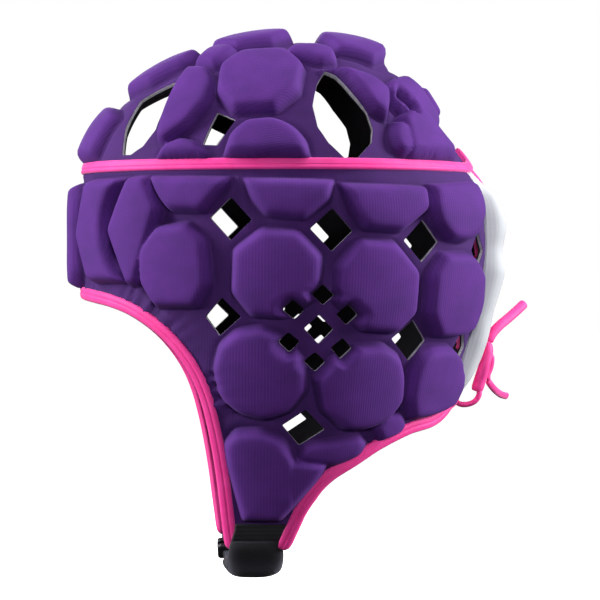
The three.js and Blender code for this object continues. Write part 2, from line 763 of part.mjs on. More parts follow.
// Looks of the plain pieces
const looks = {
  cloth: new THREE.MeshStandardMaterial({ color: 0x5b3587, roughness: 0.9, metalness: 0 }),
  tape: new THREE.MeshStandardMaterial({ color: 0xf0409a, roughness: 0.8, metalness: 0 }),
  panel: new THREE.MeshStandardMaterial({ color: 0xe8eaf0, roughness: 0.9, metalness: 0 }),
  webbing: new THREE.MeshStandardMaterial({ color: 0x17171c, roughness: 0.85, metalness: 0 }),
  moulding: new THREE.MeshStandardMaterial({ color: 0x101014, roughness: 0.5, metalness: 0 }),
};

const group = new THREE.Group();

function add(name, geometry, look) {
  const mesh = new THREE.Mesh(geometry, looks[look]);
  mesh.name = name;
  group.add(mesh);
}

add('crown_panel', toGeometry(crownPanel()), 'cloth');
add('side_panel', toGeometry(sidePanel()), 'cloth');
const leftBack = backPanel().solid;
add('back_panel_left', toGeometry(leftBack), 'panel');
add('back_panel_right', toGeometry(leftBack.mirror([1, 0, 0])), 'panel');
add('crown_binding', toGeometry(built(crownBinding())), 'tape');
add('face_binding', toGeometry(built(faceBinding())), 'tape');
add('rear_binding_left', toGeometry(built(rearBinding())), 'tape');
add('rear_binding_right', toGeometry(built(mirrored(rearBinding()))), 'tape');
add('chin_strap', toGeometry(built(chinStrap())), 'webbing');
add('chin_sleeve', toGeometry(aroundStrap(sleeveStart, sleeveEnd, 8, sleeveWall, seamGap)), 'webbing');
const buckleEnd = buckleStart + buckleLength / 160;
add('buckle', toGeometry(aroundStrap(buckleStart, buckleEnd, 3, buckleWall, seamGap)), 'moulding');
add('lace', tube(laceRoute(), laceWidth, 44, 4), 'tape');
add('lace_knot', tube(routed(knotRoute), knotWidth, 5, 8), 'tape');
add('lace_end_long', tube(routed(longEndRoute), freeEndWidth, 8, 6), 'tape');
add('lace_end_short', tube(routed(shortEndRoute), freeEndWidth, 8, 6), 'tape');

export default group;
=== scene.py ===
"""Rugby scrum cap: studio scene. Lengths are millimetres until a mesh is made in metres."""
import math

import bpy
import numpy as np
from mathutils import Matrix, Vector
from mathutils.geometry import delaunay_2d_cdt
from mathutils.kdtree import KDTree


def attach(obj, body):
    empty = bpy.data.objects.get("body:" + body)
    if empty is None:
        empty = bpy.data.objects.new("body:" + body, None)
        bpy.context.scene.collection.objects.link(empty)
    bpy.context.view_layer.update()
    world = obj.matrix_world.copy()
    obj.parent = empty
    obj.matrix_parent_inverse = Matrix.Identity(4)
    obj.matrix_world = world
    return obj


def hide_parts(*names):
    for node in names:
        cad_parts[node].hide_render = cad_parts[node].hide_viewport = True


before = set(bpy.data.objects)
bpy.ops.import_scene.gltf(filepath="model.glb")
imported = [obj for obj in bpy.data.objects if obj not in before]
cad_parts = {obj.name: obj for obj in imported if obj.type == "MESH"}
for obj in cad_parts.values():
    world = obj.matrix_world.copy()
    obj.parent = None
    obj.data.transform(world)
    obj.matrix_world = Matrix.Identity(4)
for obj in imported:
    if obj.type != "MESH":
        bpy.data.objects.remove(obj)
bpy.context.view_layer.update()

MM = 0.001

# Driving sizes of the head form and its cloth
HALF_WIDTH = 81.5
FRONT_REACH = 108.0
BACK_REACH = 96.5
CAP_DROP = 250.0
CLOTH_WALL = 2.5
PAD_RISE = 7.5
BINDING_WIDTH = 5.5
BINDING_PROUD = 1.2
SEAM_GAP = 0.3
SEAM_DROP = 0.2525
SEAM_PEAK = 0.03
SEAM_PEAK_TURN = 8.0
BACK_SEAM_TURN = 159.0
SLIT_TURN = 175.0
EYELET_TURN = 172.2
EYELET_DROPS = [0.34, 0.43, 0.52, 0.61]
PANEL_RISE = 8.5

# Camera: pixels of the 600 x 600 picture are half a millimetre at the aim point
AIM = Vector((0.0, 0.0005, -0.12575))
CAMERA_DISTANCE = 1.7
CAMERA_TURN = math.radians(3.5)
FRAME_WIDTH = 0.3

camera_data = bpy.data.cameras.new("studio_camera")
camera = bpy.data.objects.new("studio_camera", camera_data)
bpy.context.scene.collection.objects.link(camera)
back = Vector((math.cos(CAMERA_TURN), -math.sin(CAMERA_TURN), 0.0))
camera.location = AIM + back * CAMERA_DISTANCE
camera.rotation_euler = back.to_track_quat("Z", "Y").to_euler()
camera_data.angle = 2 * math.atan(FRAME_WIDTH / 2 / CAMERA_DISTANCE)
camera_data.clip_end = 50
bpy.context.scene.camera = camera

# Head form: drop as a share of CAP_DROP, then front, side and back reach as shares
HEAD_ROWS = np.array([
    [0.0, 0.0, 0.0, 0.0],
    [0.03, 0.426, 0.442, 0.425],
    [0.066, 0.62, 0.626, 0.549],
    [0.13, 0.824, 0.822, 0.653],
    [0.19, 0.935, 0.92, 0.756],
    [0.242, 0.986, 0.963, 0.86],
    [0.29, 1.0, 0.988, 0.953],
    [0.35, 1.0, 1.0, 0.995],
    [0.41, 1.0, 1.0, 1.0],
    [0.51, 1.0, 0.988, 0.964],
    [0.61, 1.0, 0.945, 0.891],
    [0.73, 1.0, 0.871, 0.808],
    [0.87, 1.0, 0.773, 0.767],
    [1.05, 1.0, 0.65, 0.767],
])

# Lower edge of the cloth: turn from the front and drop
EDGE_ROWS = [
    (0, 0.488), (18, 0.496), (30, 0.506), (39, 0.522), (46.5, 0.546), (52, 0.572),
    (57, 0.606), (61, 0.645), (64, 0.69), (66.5, 0.75), (69, 0.84), (71, 0.946),
    (85.5, 0.946), (87.5, 0.914), (91, 0.878), (97, 0.846), (107, 0.814), (117, 0.783),
    (131, 0.754), (145, 0.74), (152, 0.727), (159, 0.71), (175, 0.692),
]
FLAP_FRONT_ROW = 11
FLAP_REAR_ROW = 12
TAIL_DROP = 12.0


def smooth_at(x, xs, ys):
    """Monotone cubic through a table, with harmonic mean tangents."""
    x = np.clip(np.asarray(x, float), xs[0], xs[-1])
    steps = np.diff(xs)
    slopes = np.diff(ys) / steps
    tangents = np.zeros(len(xs))
    before, after = slopes[:-1], slopes[1:]
    both = before * after
    safe = np.where(both > 0, before + after, 1.0)
    tangents[1:-1] = np.where(both > 0, 2 * both / safe, 0.0)
    tangents[0], tangents[-1] = slopes[0], slopes[-1]
    i = np.clip(np.searchsorted(xs, x, side="right") - 1, 0, len(xs) - 2)
    h = steps[i]
    t = (x - xs[i]) / h
    a = (1 + 2 * t) * (1 - t) ** 2
    b = t * (1 - t) ** 2
    c = t * t * (3 - 2 * t)
    d = t * t * (t - 1)
    return a * ys[i] + b * h * tangents[i] + c * ys[i + 1] + d * h * tangents[i + 1]


def reaches(drop):
    squares = [smooth_at(drop, HEAD_ROWS[:, 0], HEAD_ROWS[:, k] ** 2) for k in (1, 2, 3)]
    shares = [np.sqrt(np.maximum(square, 0)) for square in squares]
    return FRONT_REACH * shares[0], HALF_WIDTH * shares[1], BACK_REACH * shares[2]


def base(turn, drop):
    turn, drop = np.broadcast_arrays(np.asarray(turn, float), np.asarray(drop, float))
    front, side, rear = reaches(drop)
    angle = np.radians(turn)
    along = np.cos(angle)
    length = np.where(along > 0, front, rear)
    return np.stack([side * np.sin(angle), -length * along, CLOTH_WALL - drop * CAP_DROP], -1)


def unit(v):
    return v / np.maximum(np.linalg.norm(v, axis=-1, keepdims=True), 1e-12)


def flat_cross(a, b):
    return a[:, 0] * b[:, 1] - b[:, 0] * a[:, 1]


def circle(count):
    angles = np.linspace(0, 2 * math.pi, count, endpoint=False)
    return np.stack([np.cos(angles), np.sin(angles)], -1)


def run_along(path):
    """Length of a path up to each of its points."""
    return np.concatenate([[0], np.cumsum(np.linalg.norm(np.diff(path, axis=0), axis=1))])


def places_at(at, run, path):
    return np.stack([np.interp(at, run, path[:, k]) for k in range(path.shape[1])], -1)


def heading(path):
    return unit(np.gradient(path, axis=0))


def tree_of_points(points):
    tree = KDTree(len(points))
    for i, (x, y) in enumerate(points.tolist()):
        tree.insert((x, y, 0.0), i)
    tree.balance()
    return tree


def gaps_to(tree, points):
    """Distance of each point to the nearest one in a tree."""
    return np.array([tree.find((x, y, 0.0))[2] for x, y in points.tolist()])


TURN_PROBE = 0.2
DROP_PROBE = 0.001


def backward(turn, drop):
    return unit(base(np.add(turn, TURN_PROBE), drop) - base(np.subtract(turn, TURN_PROBE), drop))


def outward(turn, drop):
    turn, drop = np.broadcast_arrays(np.asarray(turn, float), np.asarray(drop, float))
    step = np.maximum(np.minimum(DROP_PROBE, drop / 2), 1e-6)
    up = base(turn, drop - step) - base(turn, drop + step)
    normal = unit(np.cross(backward(turn, drop), up))
    return np.where((drop < DROP_PROBE / 2)[..., None], np.array([0.0, 0.0, 1.0]), normal)


def skin(turn, drop, lift):
    return base(turn, drop) + outward(turn, drop) * np.asarray(lift, float)[..., None]


def seam_at(turn):
    away = (180 - np.abs(turn)) / SEAM_PEAK_TURN
    return SEAM_DROP - SEAM_PEAK * np.exp(-away * away)


SEAM_HALF = (BINDING_WIDTH / 2 - 0.6) / CAP_DROP


def crown_rim(turn):
    return seam_at(turn) - SEAM_HALF


def band_top(turn):
    return seam_at(turn) + SEAM_HALF


# Charts: flat maps of the head form, in millimetres
CROWN_DROPS = np.linspace(0, 0.3, 1200)
CROWN_SIDE = reaches(CROWN_DROPS)[1]
CROWN_STEPS = np.hypot(np.diff(CROWN_SIDE), np.diff(CROWN_DROPS) * CAP_DROP)
CROWN_ARC = np.concatenate([[0], np.cumsum(CROWN_STEPS)])
TURN_SCALE = 1.4


class CrownChart:
    @staticmethod
    def spot(uv):
        arc = np.hypot(uv[..., 0], uv[..., 1])
        return np.degrees(np.arctan2(uv[..., 0], -uv[..., 1])), np.interp(arc, CROWN_ARC, CROWN_DROPS)

    @staticmethod
    def flat(turn, drop):
        arc = np.interp(drop, CROWN_DROPS, CROWN_ARC)
        angle = np.radians(turn)
        return np.stack([arc * np.sin(angle), -arc * np.cos(angle)], -1)


class BandChart:
    @staticmethod
    def spot(uv):
        return uv[..., 0] / TURN_SCALE, -uv[..., 1] / CAP_DROP

    @staticmethod
    def flat(turn, drop):
        turn, drop = np.broadcast_arrays(np.asarray(turn, float), np.asarray(drop, float))
        return np.stack([turn * TURN_SCALE, -drop * CAP_DROP], -1)


def mixed(t, start, end, first, last):
    return (end - t) / (end - start) * first + (t - start) / (end - start) * last


def curve_through(points, step):
    """Centripetal Catmull-Rom curve through points, sampled at about a step."""
    p = np.asarray(points, float)
    p = np.vstack([2 * p[0] - p[1], p, 2 * p[-1] - p[-2]])
    out = []
    for i in range(1, len(p) - 2):
        near = p[i - 1:i + 3]
        ts = [0.0]
        for k in range(3):
            ts.append(ts[-1] + max(np.linalg.norm(near[k + 1] - near[k]), 1e-6) ** 0.5)
        count = max(int(round(np.linalg.norm(near[2] - near[1]) / step)), 1)
        t = np.linspace(ts[1], ts[2], count + 1)[:, None]
        t = t if i == len(p) - 3 else t[:-1]
        level = list(near)
        for width in (1, 2):
            level = [mixed(t, ts[k], ts[k + width], level[k], level[k + 1]) for k in range(len(level) - 1)]
        out.append(mixed(t, ts[1], ts[2], *level))
    return np.vstack(out)


def rounded_loop(corners, radius, step):
    """A closed outline with rounded corners, as points about a step apart."""
    p = np.asarray(corners, float)
    n = len(p)
    pieces = []
    for i in range(n):
        a, b, c = p[i - 1], p[i], p[(i + 1) % n]
        cut = min(radius, 0.45 * np.linalg.norm(b - a), 0.45 * np.linalg.norm(c - b))
        first = b + unit(a - b) * cut
        last = b + unit(c - b) * cut
        t = np.linspace(0, 1, max(int(1.6 * cut / step) + 2, 4))[:, None]
        pieces.append((1 - t) ** 2 * first + 2 * t * (1 - t) * b + t * t * last)
    out = []
    for i, arc in enumerate(pieces):
        out.append(arc)
        a, b = arc[-1], pieces[(i + 1) % n][0]
        count = int(np.linalg.norm(b - a) / step)
        if count > 1:
            t = np.linspace(0, 1, count + 1)[1:-1, None]
            out.append(a + (b - a) * t)
    loop = np.vstack(out)
    keep = np.linalg.norm(loop - np.roll(loop, 1, axis=0), axis=1) > 0.15 * step
    return loop[keep]


# Pads, left side: turn, drop, rise as a share of PAD_RISE, then corners in millimetres,
# back and up from the middle
CROWN_PADS = [
    (0, 0.19, 0.78, [(-27, 12), (-17, 16), (17, 16), (27, 12), (27, -10), (17, -14), (-17, -14), (-27, -10)]),
    (0, 0.067, 0.9, [(-23, 10), (-12, 20), (12, 20), (23, 10), (23, -9), (12, -19), (-12, -19), (-23, -9)]),
    (0, 0.008, 1.0, [(-27, 9), (-14, 19), (14, 19), (27, 9), (27, -9), (14, -19), (-14, -19), (-27, -9)]),
    (180, 0.012, 0.88, [(-36, 9), (-18, 18), (18, 18), (36, 9), (36, -9), (18, -17), (-18, -17), (-36, -9)]),
    (149, 0.13, 0.9, [(-22, 7), (-15, 12), (0, 15), (10, 8), (11, -10), (3, -17), (-5, -17), (-22, -4)]),
    (180, 0.125, 0.8, [(-13, 6), (-9, 9), (9, 9), (13, 6), (13, -6), (9, -9), (-9, -9), (-13, -6)]),
    (51, 0.14, 1.0, [(-8, 24), (4, 23), (12, 12), (13, 0), (7, -12), (-5, -21), (-10, -19), (-10, -6)]),
    (42, 0.047, 0.9, [(-9, 6), (-4, 11), (6, 10), (9, 2), (6, -9), (-6, -9)]),
    (73, 0.09, 1.0, [(-20, 9), (-11, 20), (10, 21), (20, 10), (20, -9), (10, -20), (-10, -21), (-19, -10)]),
    (55.5, 0.224, 0.8, [(-14, -5), (-9, 2), (-1, 5), (7, 3), (14, -3), (14, -8), (-14, -8)]),
    (79, 0.207, 1.0, [(-20, -8), (-17, 3), (-10, 9), (3, 10), (12, 6), (18, -1), (20, -10), (0, -16)]),
    (95, 0.041, 0.8, [(-12, 4), (-7, 8), (5, 8), (11, 3), (10, -7), (3, -9), (-7, -4), (-12, -1)]),
    (118.5, 0.104, 1.0, [(-18, 12), (-16, 14.5), (-9, 11.5), (5, 4), (11, -3), (9, -10), (4, -19),
                         (-2, -15.5), (-11, -5), (-17, 5)]),
    (142.5, 0.205, 1.0, [(-18, 12), (-6, 18), (3, 14), (16, -12), (-1, -15.5), (-20, -16), (-22.5, -9)]),
    (126.5, 0.207, 0.85, [(-7, 3), (-3, 9), (3, 9), (7, 3), (6, -5), (2, -9), (-3, -9), (-7, -4)]),
]
BAND_PADS = [
    (0, 0.386, 1.0, [(-12, 18), (-9, 25), (9, 25), (12, 18), (12, -18), (9, -25), (-9, -25), (-12, -18)]),
    (22.5, 0.381, 1.0, [(-5, 25), (25, 25.5), (25, -24), (-2, -24), (-15, -1)]),
    (38.2, 0.382, 1.0, [(1, 26), (12, 26.5), (20, 11), (8, -25), (1.5, -25.5), (-11, 1.3)]),
    (58.5, 0.309, 1.0, [(-20, 8), (20, 7), (19, 3), (8, -9), (-9, -8), (-15, -2)]),
    (85, 0.319, 1.0, [(-21, 9), (20, 8), (19, -1), (7, -10), (-11, -8), (-18, 0)]),
    (112.5, 0.337, 1.0, [(-22, 11), (21, 10), (22, 0), (7, -11), (-11, -10), (-18, -2)]),
    (140.8, 0.34, 1.0, [(-20, 12), (12, 14), (16, 8), (17, 0), (10, -12), (0, -15), (-10, -14), (-18, -7),
                        (-21, 2)]),
    (54.5, 0.448, 1.0, [(-18, 8), (-9, 19), (7, 20.5), (16, 12), (18, -9), (12, -19.5), (-10, -19.5),
                        (-18, -8)]),
    (81.8, 0.462, 1.0, [(-20, 11), (-7, 21), (10, 20), (21, 8), (20, -11), (4, -21), (-12, -20), (-21, -9)]),
    (110, 0.486, 1.0, [(-20, 9), (-9, 22), (8, 21), (21, 7), (20, -13), (10, -22), (-7, -21), (-21, -7)]),
    (141.4, 0.503, 1.0, [(-21, 10), (-14, 20), (6, 20), (17, 11), (19, -4), (14, -17), (4, -20), (-13, -20),
                         (-21, -9)]),
    (77.8, 0.65, 1.0, [(-22, 1), (-19, 13), (-11, 20), (1, 22), (11, 17), (21, 5), (22, -9), (14, -19),
                       (2, -23), (-10, -20), (-19, -12)]),
    (107.5, 0.677, 1.0, [(-22, 3), (-16, 12), (-8, 19), (10, 20), (19, 14), (22, 5), (22, -8), (15, -17),
                         (5, -21), (-7, -21), (-18, -12)]),
    (141.6, 0.672, 1.0, [(-18, 14), (-10, 18), (3, 18), (15, 11), (20, -2), (14, -12), (-4, -17), (-17, -18),
                         (-21, -8), (-21, 6)]),
    (81, 0.846, 1.0, [(-22, 15), (-17, 21), (-5, 22), (5, 18), (12, 6), (12, -14), (4, -23), (-14, -23),
                      (-18, -9), (-21, 4)]),
    (81, 0.846, 0.94, [(0, 7), (16, 7), (26, 5), (24, 0), (10, -17), (4, -23), (0, -23)]),
    (105.5, 0.796, 0.62, [(-24, -7), (-22, 1), (-3, 5), (4, 6), (8, 2), (5, -4), (-8, -9)]),
    (121, 0.757, 0.6, [(-9, 0), (-3, 6), (5, 7), (9, 1), (5, -5), (-5, -7)]),
]

# Diamond holes, left side: turn, drop, corners back and up from the middle, corner radius
CROWN_HOLES = [
    (65.4, 0.187, [(-8.5, -7.5), (-3, 10), (7, 5.5), (-0.5, -8)], 0.8),
    (136, 0.136, [(-4, 2), (-1, 6), (4, -3), (2, -6)], 0.5),
]
BAND_HOLES = [
    (69.8, 0.358, [(-10.5, 0.5), (0, 10.5), (10.5, -0.5), (0, -10.5)], 1.0),
    (96.3, 0.379, [(-10.5, 0.5), (0.5, 10.5), (10.5, -0.5), (0, -10.5)], 1.0),
    (124.8, 0.399, [(-10.5, 0), (0.5, 10.5), (10.5, -0.5), (0, -10.5)], 1.0),
    (152.6, 0.416, [(-7, 0), (0, 9.5), (7, 0), (0, -9.5)], 0.8),
    (67.8, 0.545, [(-9, 0), (-0.5, 9.5), (9, 0), (-2, -9.5)], 1.0),
    (124.3, 0.59, [(-10.5, 0.5), (1, 10), (10.5, -0.5), (1, -10.5)], 1.0),
    (89.4, 0.758, [(-11.5, 1), (0, 9), (9.5, -1), (-3, -9)], 1.0),
    (152.8, 0.606, [(-7, 0), (0, 9.5), (7, 0), (0, -9.5)], 0.8),
    (86, 0.531, [(-5.7, 0), (-0.5, 5), (5.7, 0), (0.5, -5.2)], 1.6),
    (94, 0.503, [(-5.6, 0.4), (0, 5.2), (5.6, -0.2), (0, -5.2)], 1.0),
    (101.5, 0.541, [(-5.6, 0), (0.4, 5.2), (5.4, 0), (0, -5.2)], 1.2),
    (100.5, 0.605, [(-5.6, 0.2), (0.4, 5.2), (5.2, 0), (-0.6, -5.4)], 1.0),
    (92, 0.631, [(-5.6, 0.4), (0, 5), (5.4, 0), (0, -5.2)], 1.4),
    (85, 0.593, [(-5.6, 0.2), (-0.4, 5), (5.4, 0), (0, -5.2)], 1.6),
    (93, 0.569, [(-7.4, 0.4), (0, 7.2), (7.2, 0), (0, -7.4)], 1.0),
]

# Large crown vents: corners as turn and drop
FRONT_VENT = [(23.5, 0.122), (34.5, 0.085), (39, 0.089), (42, 0.14), (43.5, 0.184), (41, 0.216), (37, 0.232),
              (33, 0.232), (29, 0.182)]
REAR_VENT = [(100, 0.07), (105, 0.08), (111, 0.115), (116, 0.152), (116, 0.185), (113.5, 0.212),
             (106.5, 0.242), (102, 0.243), (97, 0.212), (93.5, 0.182), (92, 0.14), (95, 0.095)]
TOP_VENT = [(144, 0.064), (149, 0.044), (162, 0.036), (198, 0.036), (211, 0.044), (216, 0.064),
            (205, 0.078), (180, 0.082), (155, 0.078)]
LOW_VENT = [(165, 0.19), (170, 0.168), (190, 0.168), (195, 0.19), (189, 0.208), (171, 0.208)]

# Round bays cut out of single pads: turn and drop of the pad, then back, up and radius
PAD_BAYS = {(22.5, 0.381): (43.6, 1, 31.2)}

# Millimetres that a pad reaches past its corners, and how sharp its corners are
PAD_SPREAD = 1.5
CORNER_SHARPNESS = 1.5
# Height of a pad's side: millimetres in from the outline, share of the rise
SHOULDER = np.array([
    [0.0, 0.0], [0.7, 0.22], [1.6, 0.5], [2.5, 0.74], [3.4, 0.89], [4.5, 0.97], [6.2, 1.0], [14.0, 1.05],
    [40.0, 1.07],
])
CONTOUR_LEVELS = [-1.2, -0.4, 0.0, 0.7, 1.6, 2.5, 3.4, 4.5, 6.2]
CONTOUR_STEP = 0.95
GROOVE = 0.5
GROOVE_REACH = 1.1
GROOVE_FADE = 1.2

SOLVE_ROUNDS = 14
SOLVE_PROBE = 0.05
LONGEST_STEP = 12


class Patch:
    """A middle on the head form with its own flat directions."""

    def __init__(self, turn, drop, mirror=False):
        self.turn = -turn if mirror else turn
        self.drop = drop
        self.middle = base(self.turn, drop)
        self.out = outward(self.turn, drop)
        east = backward(self.turn, drop)
        self.east = -east if mirror else east
        self.north = np.cross(self.out, east)

    def local(self, points):
        away = points - self.middle
        return away @ self.east, away @ self.north

    def solve(self, chart, targets):
        """Chart places of points given back and up from the middle."""
        def local_at(uv):
            return np.stack(self.local(base(*chart.spot(uv))), -1)

        uv = np.repeat(chart.flat(self.turn, self.drop)[None, :], len(targets), 0)
        for _ in range(SOLVE_ROUNDS):
            at = local_at(uv)
            du, dv = ((local_at(uv + shift) - at) / SOLVE_PROBE for shift in SOLVE_PROBE * np.eye(2))
            miss = targets - at
            det = flat_cross(du, dv)
            det = np.where(np.abs(det) < 1e-3, 1e-3, det)
            step = np.stack([flat_cross(miss, dv), flat_cross(du, miss)], -1) / det[:, None]
            uv = uv + step / np.maximum(np.linalg.norm(step, axis=1, keepdims=True) / LONGEST_STEP, 1)
        return uv


class Pad(Patch):
    def __init__(self, turn, drop, rise, corners, mirror=False):
        super().__init__(turn, drop, mirror)
        self.rise = rise * PAD_RISE
        c = np.asarray(corners, float)
        self.centre = c.mean(0)
        along = np.roll(c, -1, axis=0) - c
        normal = unit(np.stack([along[:, 1], -along[:, 0]], -1))
        facing = np.sign(((c - self.centre) * normal).sum(1))
        self.normals = normal * facing[:, None]
        self.offsets = (c * self.normals).sum(1) + PAD_SPREAD
        self.bay = PAD_BAYS.get((turn, drop))
        self.reach = np.abs(c).max() * 1.5 + 6

    def depth(self, u, v):
        """Millimetres inside the outline, with soft corners; negative outside."""
        s = np.outer(u, self.normals[:, 0]) + np.outer(v, self.normals[:, 1]) - self.offsets
        if self.bay:
            back, up, radius = self.bay
            s = np.column_stack([s, radius - np.hypot(u - back, v - up)])
        top = s.max(1)
        return -(top + np.log(np.exp((s - top[:, None]) * CORNER_SHARPNESS).sum(1)) / CORNER_SHARPNESS)

    def contour(self, level, step):
        """Points at one depth inside the outline, found by halving along rays."""
        ray = circle(240)
        near, far = np.zeros(len(ray)), np.full(len(ray), 60.0)
        if self.depth(self.centre[:1], self.centre[1:])[0] <= level:
            return None
        for _ in range(30):
            middle = (near + far) / 2
            p = self.centre + ray * middle[:, None]
            deeper = self.depth(p[:, 0], p[:, 1]) > level
            near, far = np.where(deeper, middle, near), np.where(deeper, far, middle)
        loop = self.centre + ray * near[:, None]
        closed = np.vstack([loop, loop[:1]])
        run = run_along(closed)
        count = max(int(run[-1] / step), 8)
        return places_at(np.linspace(0, run[-1], count, endpoint=False), run, closed)


def pads_from(table):
    pads = []
    for turn, drop, rise, corners in table:
        pads.append(Pad(turn, drop, rise, corners))
        if turn not in (0, 180):
            pads.append(Pad(turn, drop, rise, corners, mirror=True))
    return pads


def pad_height(points, pads):
    height = np.zeros(len(points))
    groove = np.zeros(len(points))
    for pad in pads:
        near = np.where(np.linalg.norm(points - pad.middle, axis=1) < pad.reach)[0]
        if len(near) == 0:
            continue
        depth = pad.depth(*pad.local(points[near]))
        lifted = pad.rise * smooth_at(np.maximum(depth, 0), *SHOULDER.T)
        height[near] = np.maximum(height[near], np.where(depth > 0, lifted, 0))
        dip = GROOVE * np.exp(-(np.minimum(depth, 0) / GROOVE_REACH) ** 2)
        groove[near] = np.maximum(groove[near], np.where(depth <= 0, dip, 0))
    return np.where(height > 0, height - GROOVE * np.exp(-height / GROOVE_FADE), -groove)


def inside(points, loop):
    """Even-odd test of points against one closed loop."""
    x, y = points[:, 0], points[:, 1]
    result = np.zeros(len(points), bool)
    low, high = loop.min(0), loop.max(0)
    near = np.where((x >= low[0]) & (x <= high[0]) & (y >= low[1]) & (y <= high[1]))[0]
    px, py = x[near], y[near]
    flags = np.zeros(len(near), bool)
    following = np.roll(loop, -1, axis=0)
    for (ax, ay), (bx, by) in zip(loop, following):
        crosses = (ay > py) != (by > py)
        if not crosses.any():
            continue
        meet = ax + (py - ay) * (bx - ax) / (by - ay if by != ay else 1e-12)
        flags ^= crosses & (px < meet)
    result[near] = flags
    return result


def in_region(points, outline, holes):
    keep = inside(points, outline)
    for hole in holes:
        keep &= ~inside(points, hole)
    return keep


def apart_from(points, others, distance):
    """Points that lie further than a distance from all the others."""
    return points[gaps_to(tree_of_points(others), points) > distance]


def flat_triangles(points, edges):
    corners = [Vector(p) for p in points.tolist()]
    verts, _, faces, _, _, _ = delaunay_2d_cdt(corners, edges, [], 0, 1e-6, False)
    return np.array([[v[0], v[1]] for v in verts]), np.array(faces, int)


def loop_edges(loops):
    edges = []
    start = 0
    for loop in loops:
        n = len(loop)
        edges += [(start + i, start + (i + 1) % n) for i in range(n)]
        start += n
    return edges


NO_POINTS = np.zeros((0, 2))
ROW_RATIO = 0.866
# Millimetres from contours to edges, and share of the spacing from grid points to the rest
CONTOUR_CLEARANCE = 0.54
GRID_CLEARANCE = 0.62


def triangulated(outline, holes, extra, spacing):
    """Triangles of a flat region: boundary loops, contour points and a grid between them."""
    loops = [outline] + holes
    low, high = outline.min(0) - spacing, outline.max(0) + spacing
    rows = int((high[1] - low[1]) / (spacing * ROW_RATIO)) + 1
    columns = int((high[0] - low[0]) / spacing) + 1
    gx, gy = np.meshgrid(np.arange(columns), np.arange(rows))
    grid = np.stack([low[0] + (gx + 0.5 * (gy % 2)) * spacing, low[1] + gy * spacing * ROW_RATIO], -1)
    grid = grid.reshape(-1, 2)
    edges = np.vstack(loops)
    if len(extra):
        extra = apart_from(extra[in_region(extra, outline, holes)], edges, CONTOUR_CLEARANCE)
    grid = grid[in_region(grid, outline, holes)]
    grid = apart_from(grid, np.vstack([edges, extra]), GRID_CLEARANCE * spacing)
    uv, tris = flat_triangles(np.vstack([edges, extra, grid]), loop_edges(loops))
    a, b, c = (uv[tris[:, k]] for k in range(3))
    area = flat_cross(b - a, c - a)
    keep = in_region(uv[tris].mean(1), outline, holes) & (np.abs(area) > 1e-6)
    tris = np.where((area < 0)[:, None], tris[:, ::-1], tris)
    return uv, tris[keep]


def mesh_piece(name, points, faces, uvs, materials, face_materials=None):
    mesh = bpy.data.meshes.new(name)
    mesh.from_pydata((np.asarray(points) * MM).tolist(), [], [list(map(int, f)) for f in faces])
    layer = mesh.uv_layers.new(name="UVMap")
    corners = np.zeros(len(mesh.loops), int)
    mesh.loops.foreach_get("vertex_index", corners)
    layer.data.foreach_set("uv", (np.asarray(uvs, float)[corners]).astype(np.float32).ravel())
    for material in materials:
        mesh.materials.append(material)
    if face_materials is not None:
        mesh.polygons.foreach_set("material_index", np.asarray(face_materials, int))
    mesh.polygons.foreach_set("use_smooth", np.ones(len(mesh.polygons), bool))
    mesh.validate(clean_customdata=False)
    mesh.update()
    piece = bpy.data.objects.new(name, mesh)
    bpy.context.scene.collection.objects.link(piece)
    return piece


def stands_for(piece, node_name):
    """The piece takes a solid's place and rides on the body."""
    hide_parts(node_name)
    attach(piece, "root")
    return piece


class Builder:
    """Collects parts of one mesh with their own materials."""

    def __init__(self):
        self.points, self.uvs, self.faces, self.slots = [], [], [], []
        self.count = 0

    def add(self, points, faces, uvs, slots):
        """Slots is one material number, or one for each face."""
        self.points.append(np.asarray(points, float))
        self.uvs.append(np.asarray(uvs, float))
        self.faces += [[int(i) + self.count for i in face] for face in faces]
        self.slots += slots if isinstance(slots, list) else [slots] * len(faces)
        self.count += len(points)

    def piece(self, name, materials):
        points, uvs = np.vstack(self.points), np.vstack(self.uvs)
        return mesh_piece(name, points, self.faces, uvs, materials, self.slots)


def strip_faces(count, rows, closed_rows=False):
    """Quads between closed rows of points that are stored one row after the other."""
    faces = []
    for r in range(rows if closed_rows else rows - 1):
        s = (r + 1) % rows
        for i in range(count):
            j = (i + 1) % count
            faces.append([r * count + i, r * count + j, s * count + j, s * count + i])
    return faces


HOLE_HOLD = 3.2


def held_at_holes(uv, loops):
    """Share of the pads' height that is left beside the holes' edges."""
    near = gaps_to(tree_of_points(np.vstack(loops)), uv)
    return 0.1 + 0.9 * np.sqrt(np.clip(near / HOLE_HOLD, 0, 1))


RAISED_SHARE = 0.55


def raised_share(lift):
    """How far the cloth is raised above the sunken grooves between pads, 0 to 1; the purple knit paints shade
    where it is low.
    """
    share = np.clip(np.asarray(lift, float) / (RAISED_SHARE * PAD_RISE), 0, 1)
    return share * share * (3 - 2 * share)


LINING_SPACING = 5.0
PAD_STIFFNESS = 0.85
# Rows of a cut edge, from the cover to the lining: way out past the cloth's edge, then the fall
# of the first three from the cover and the height of the fourth over the lining
CUT_WAYS = [0.0, 0.12, 0.16, 0.1, 0.0]
CUT_FALLS = [0.0, 0.2, 0.5]
CORE_FROM = 0.9
COVER, CORE, LINER = 0, 1, 2


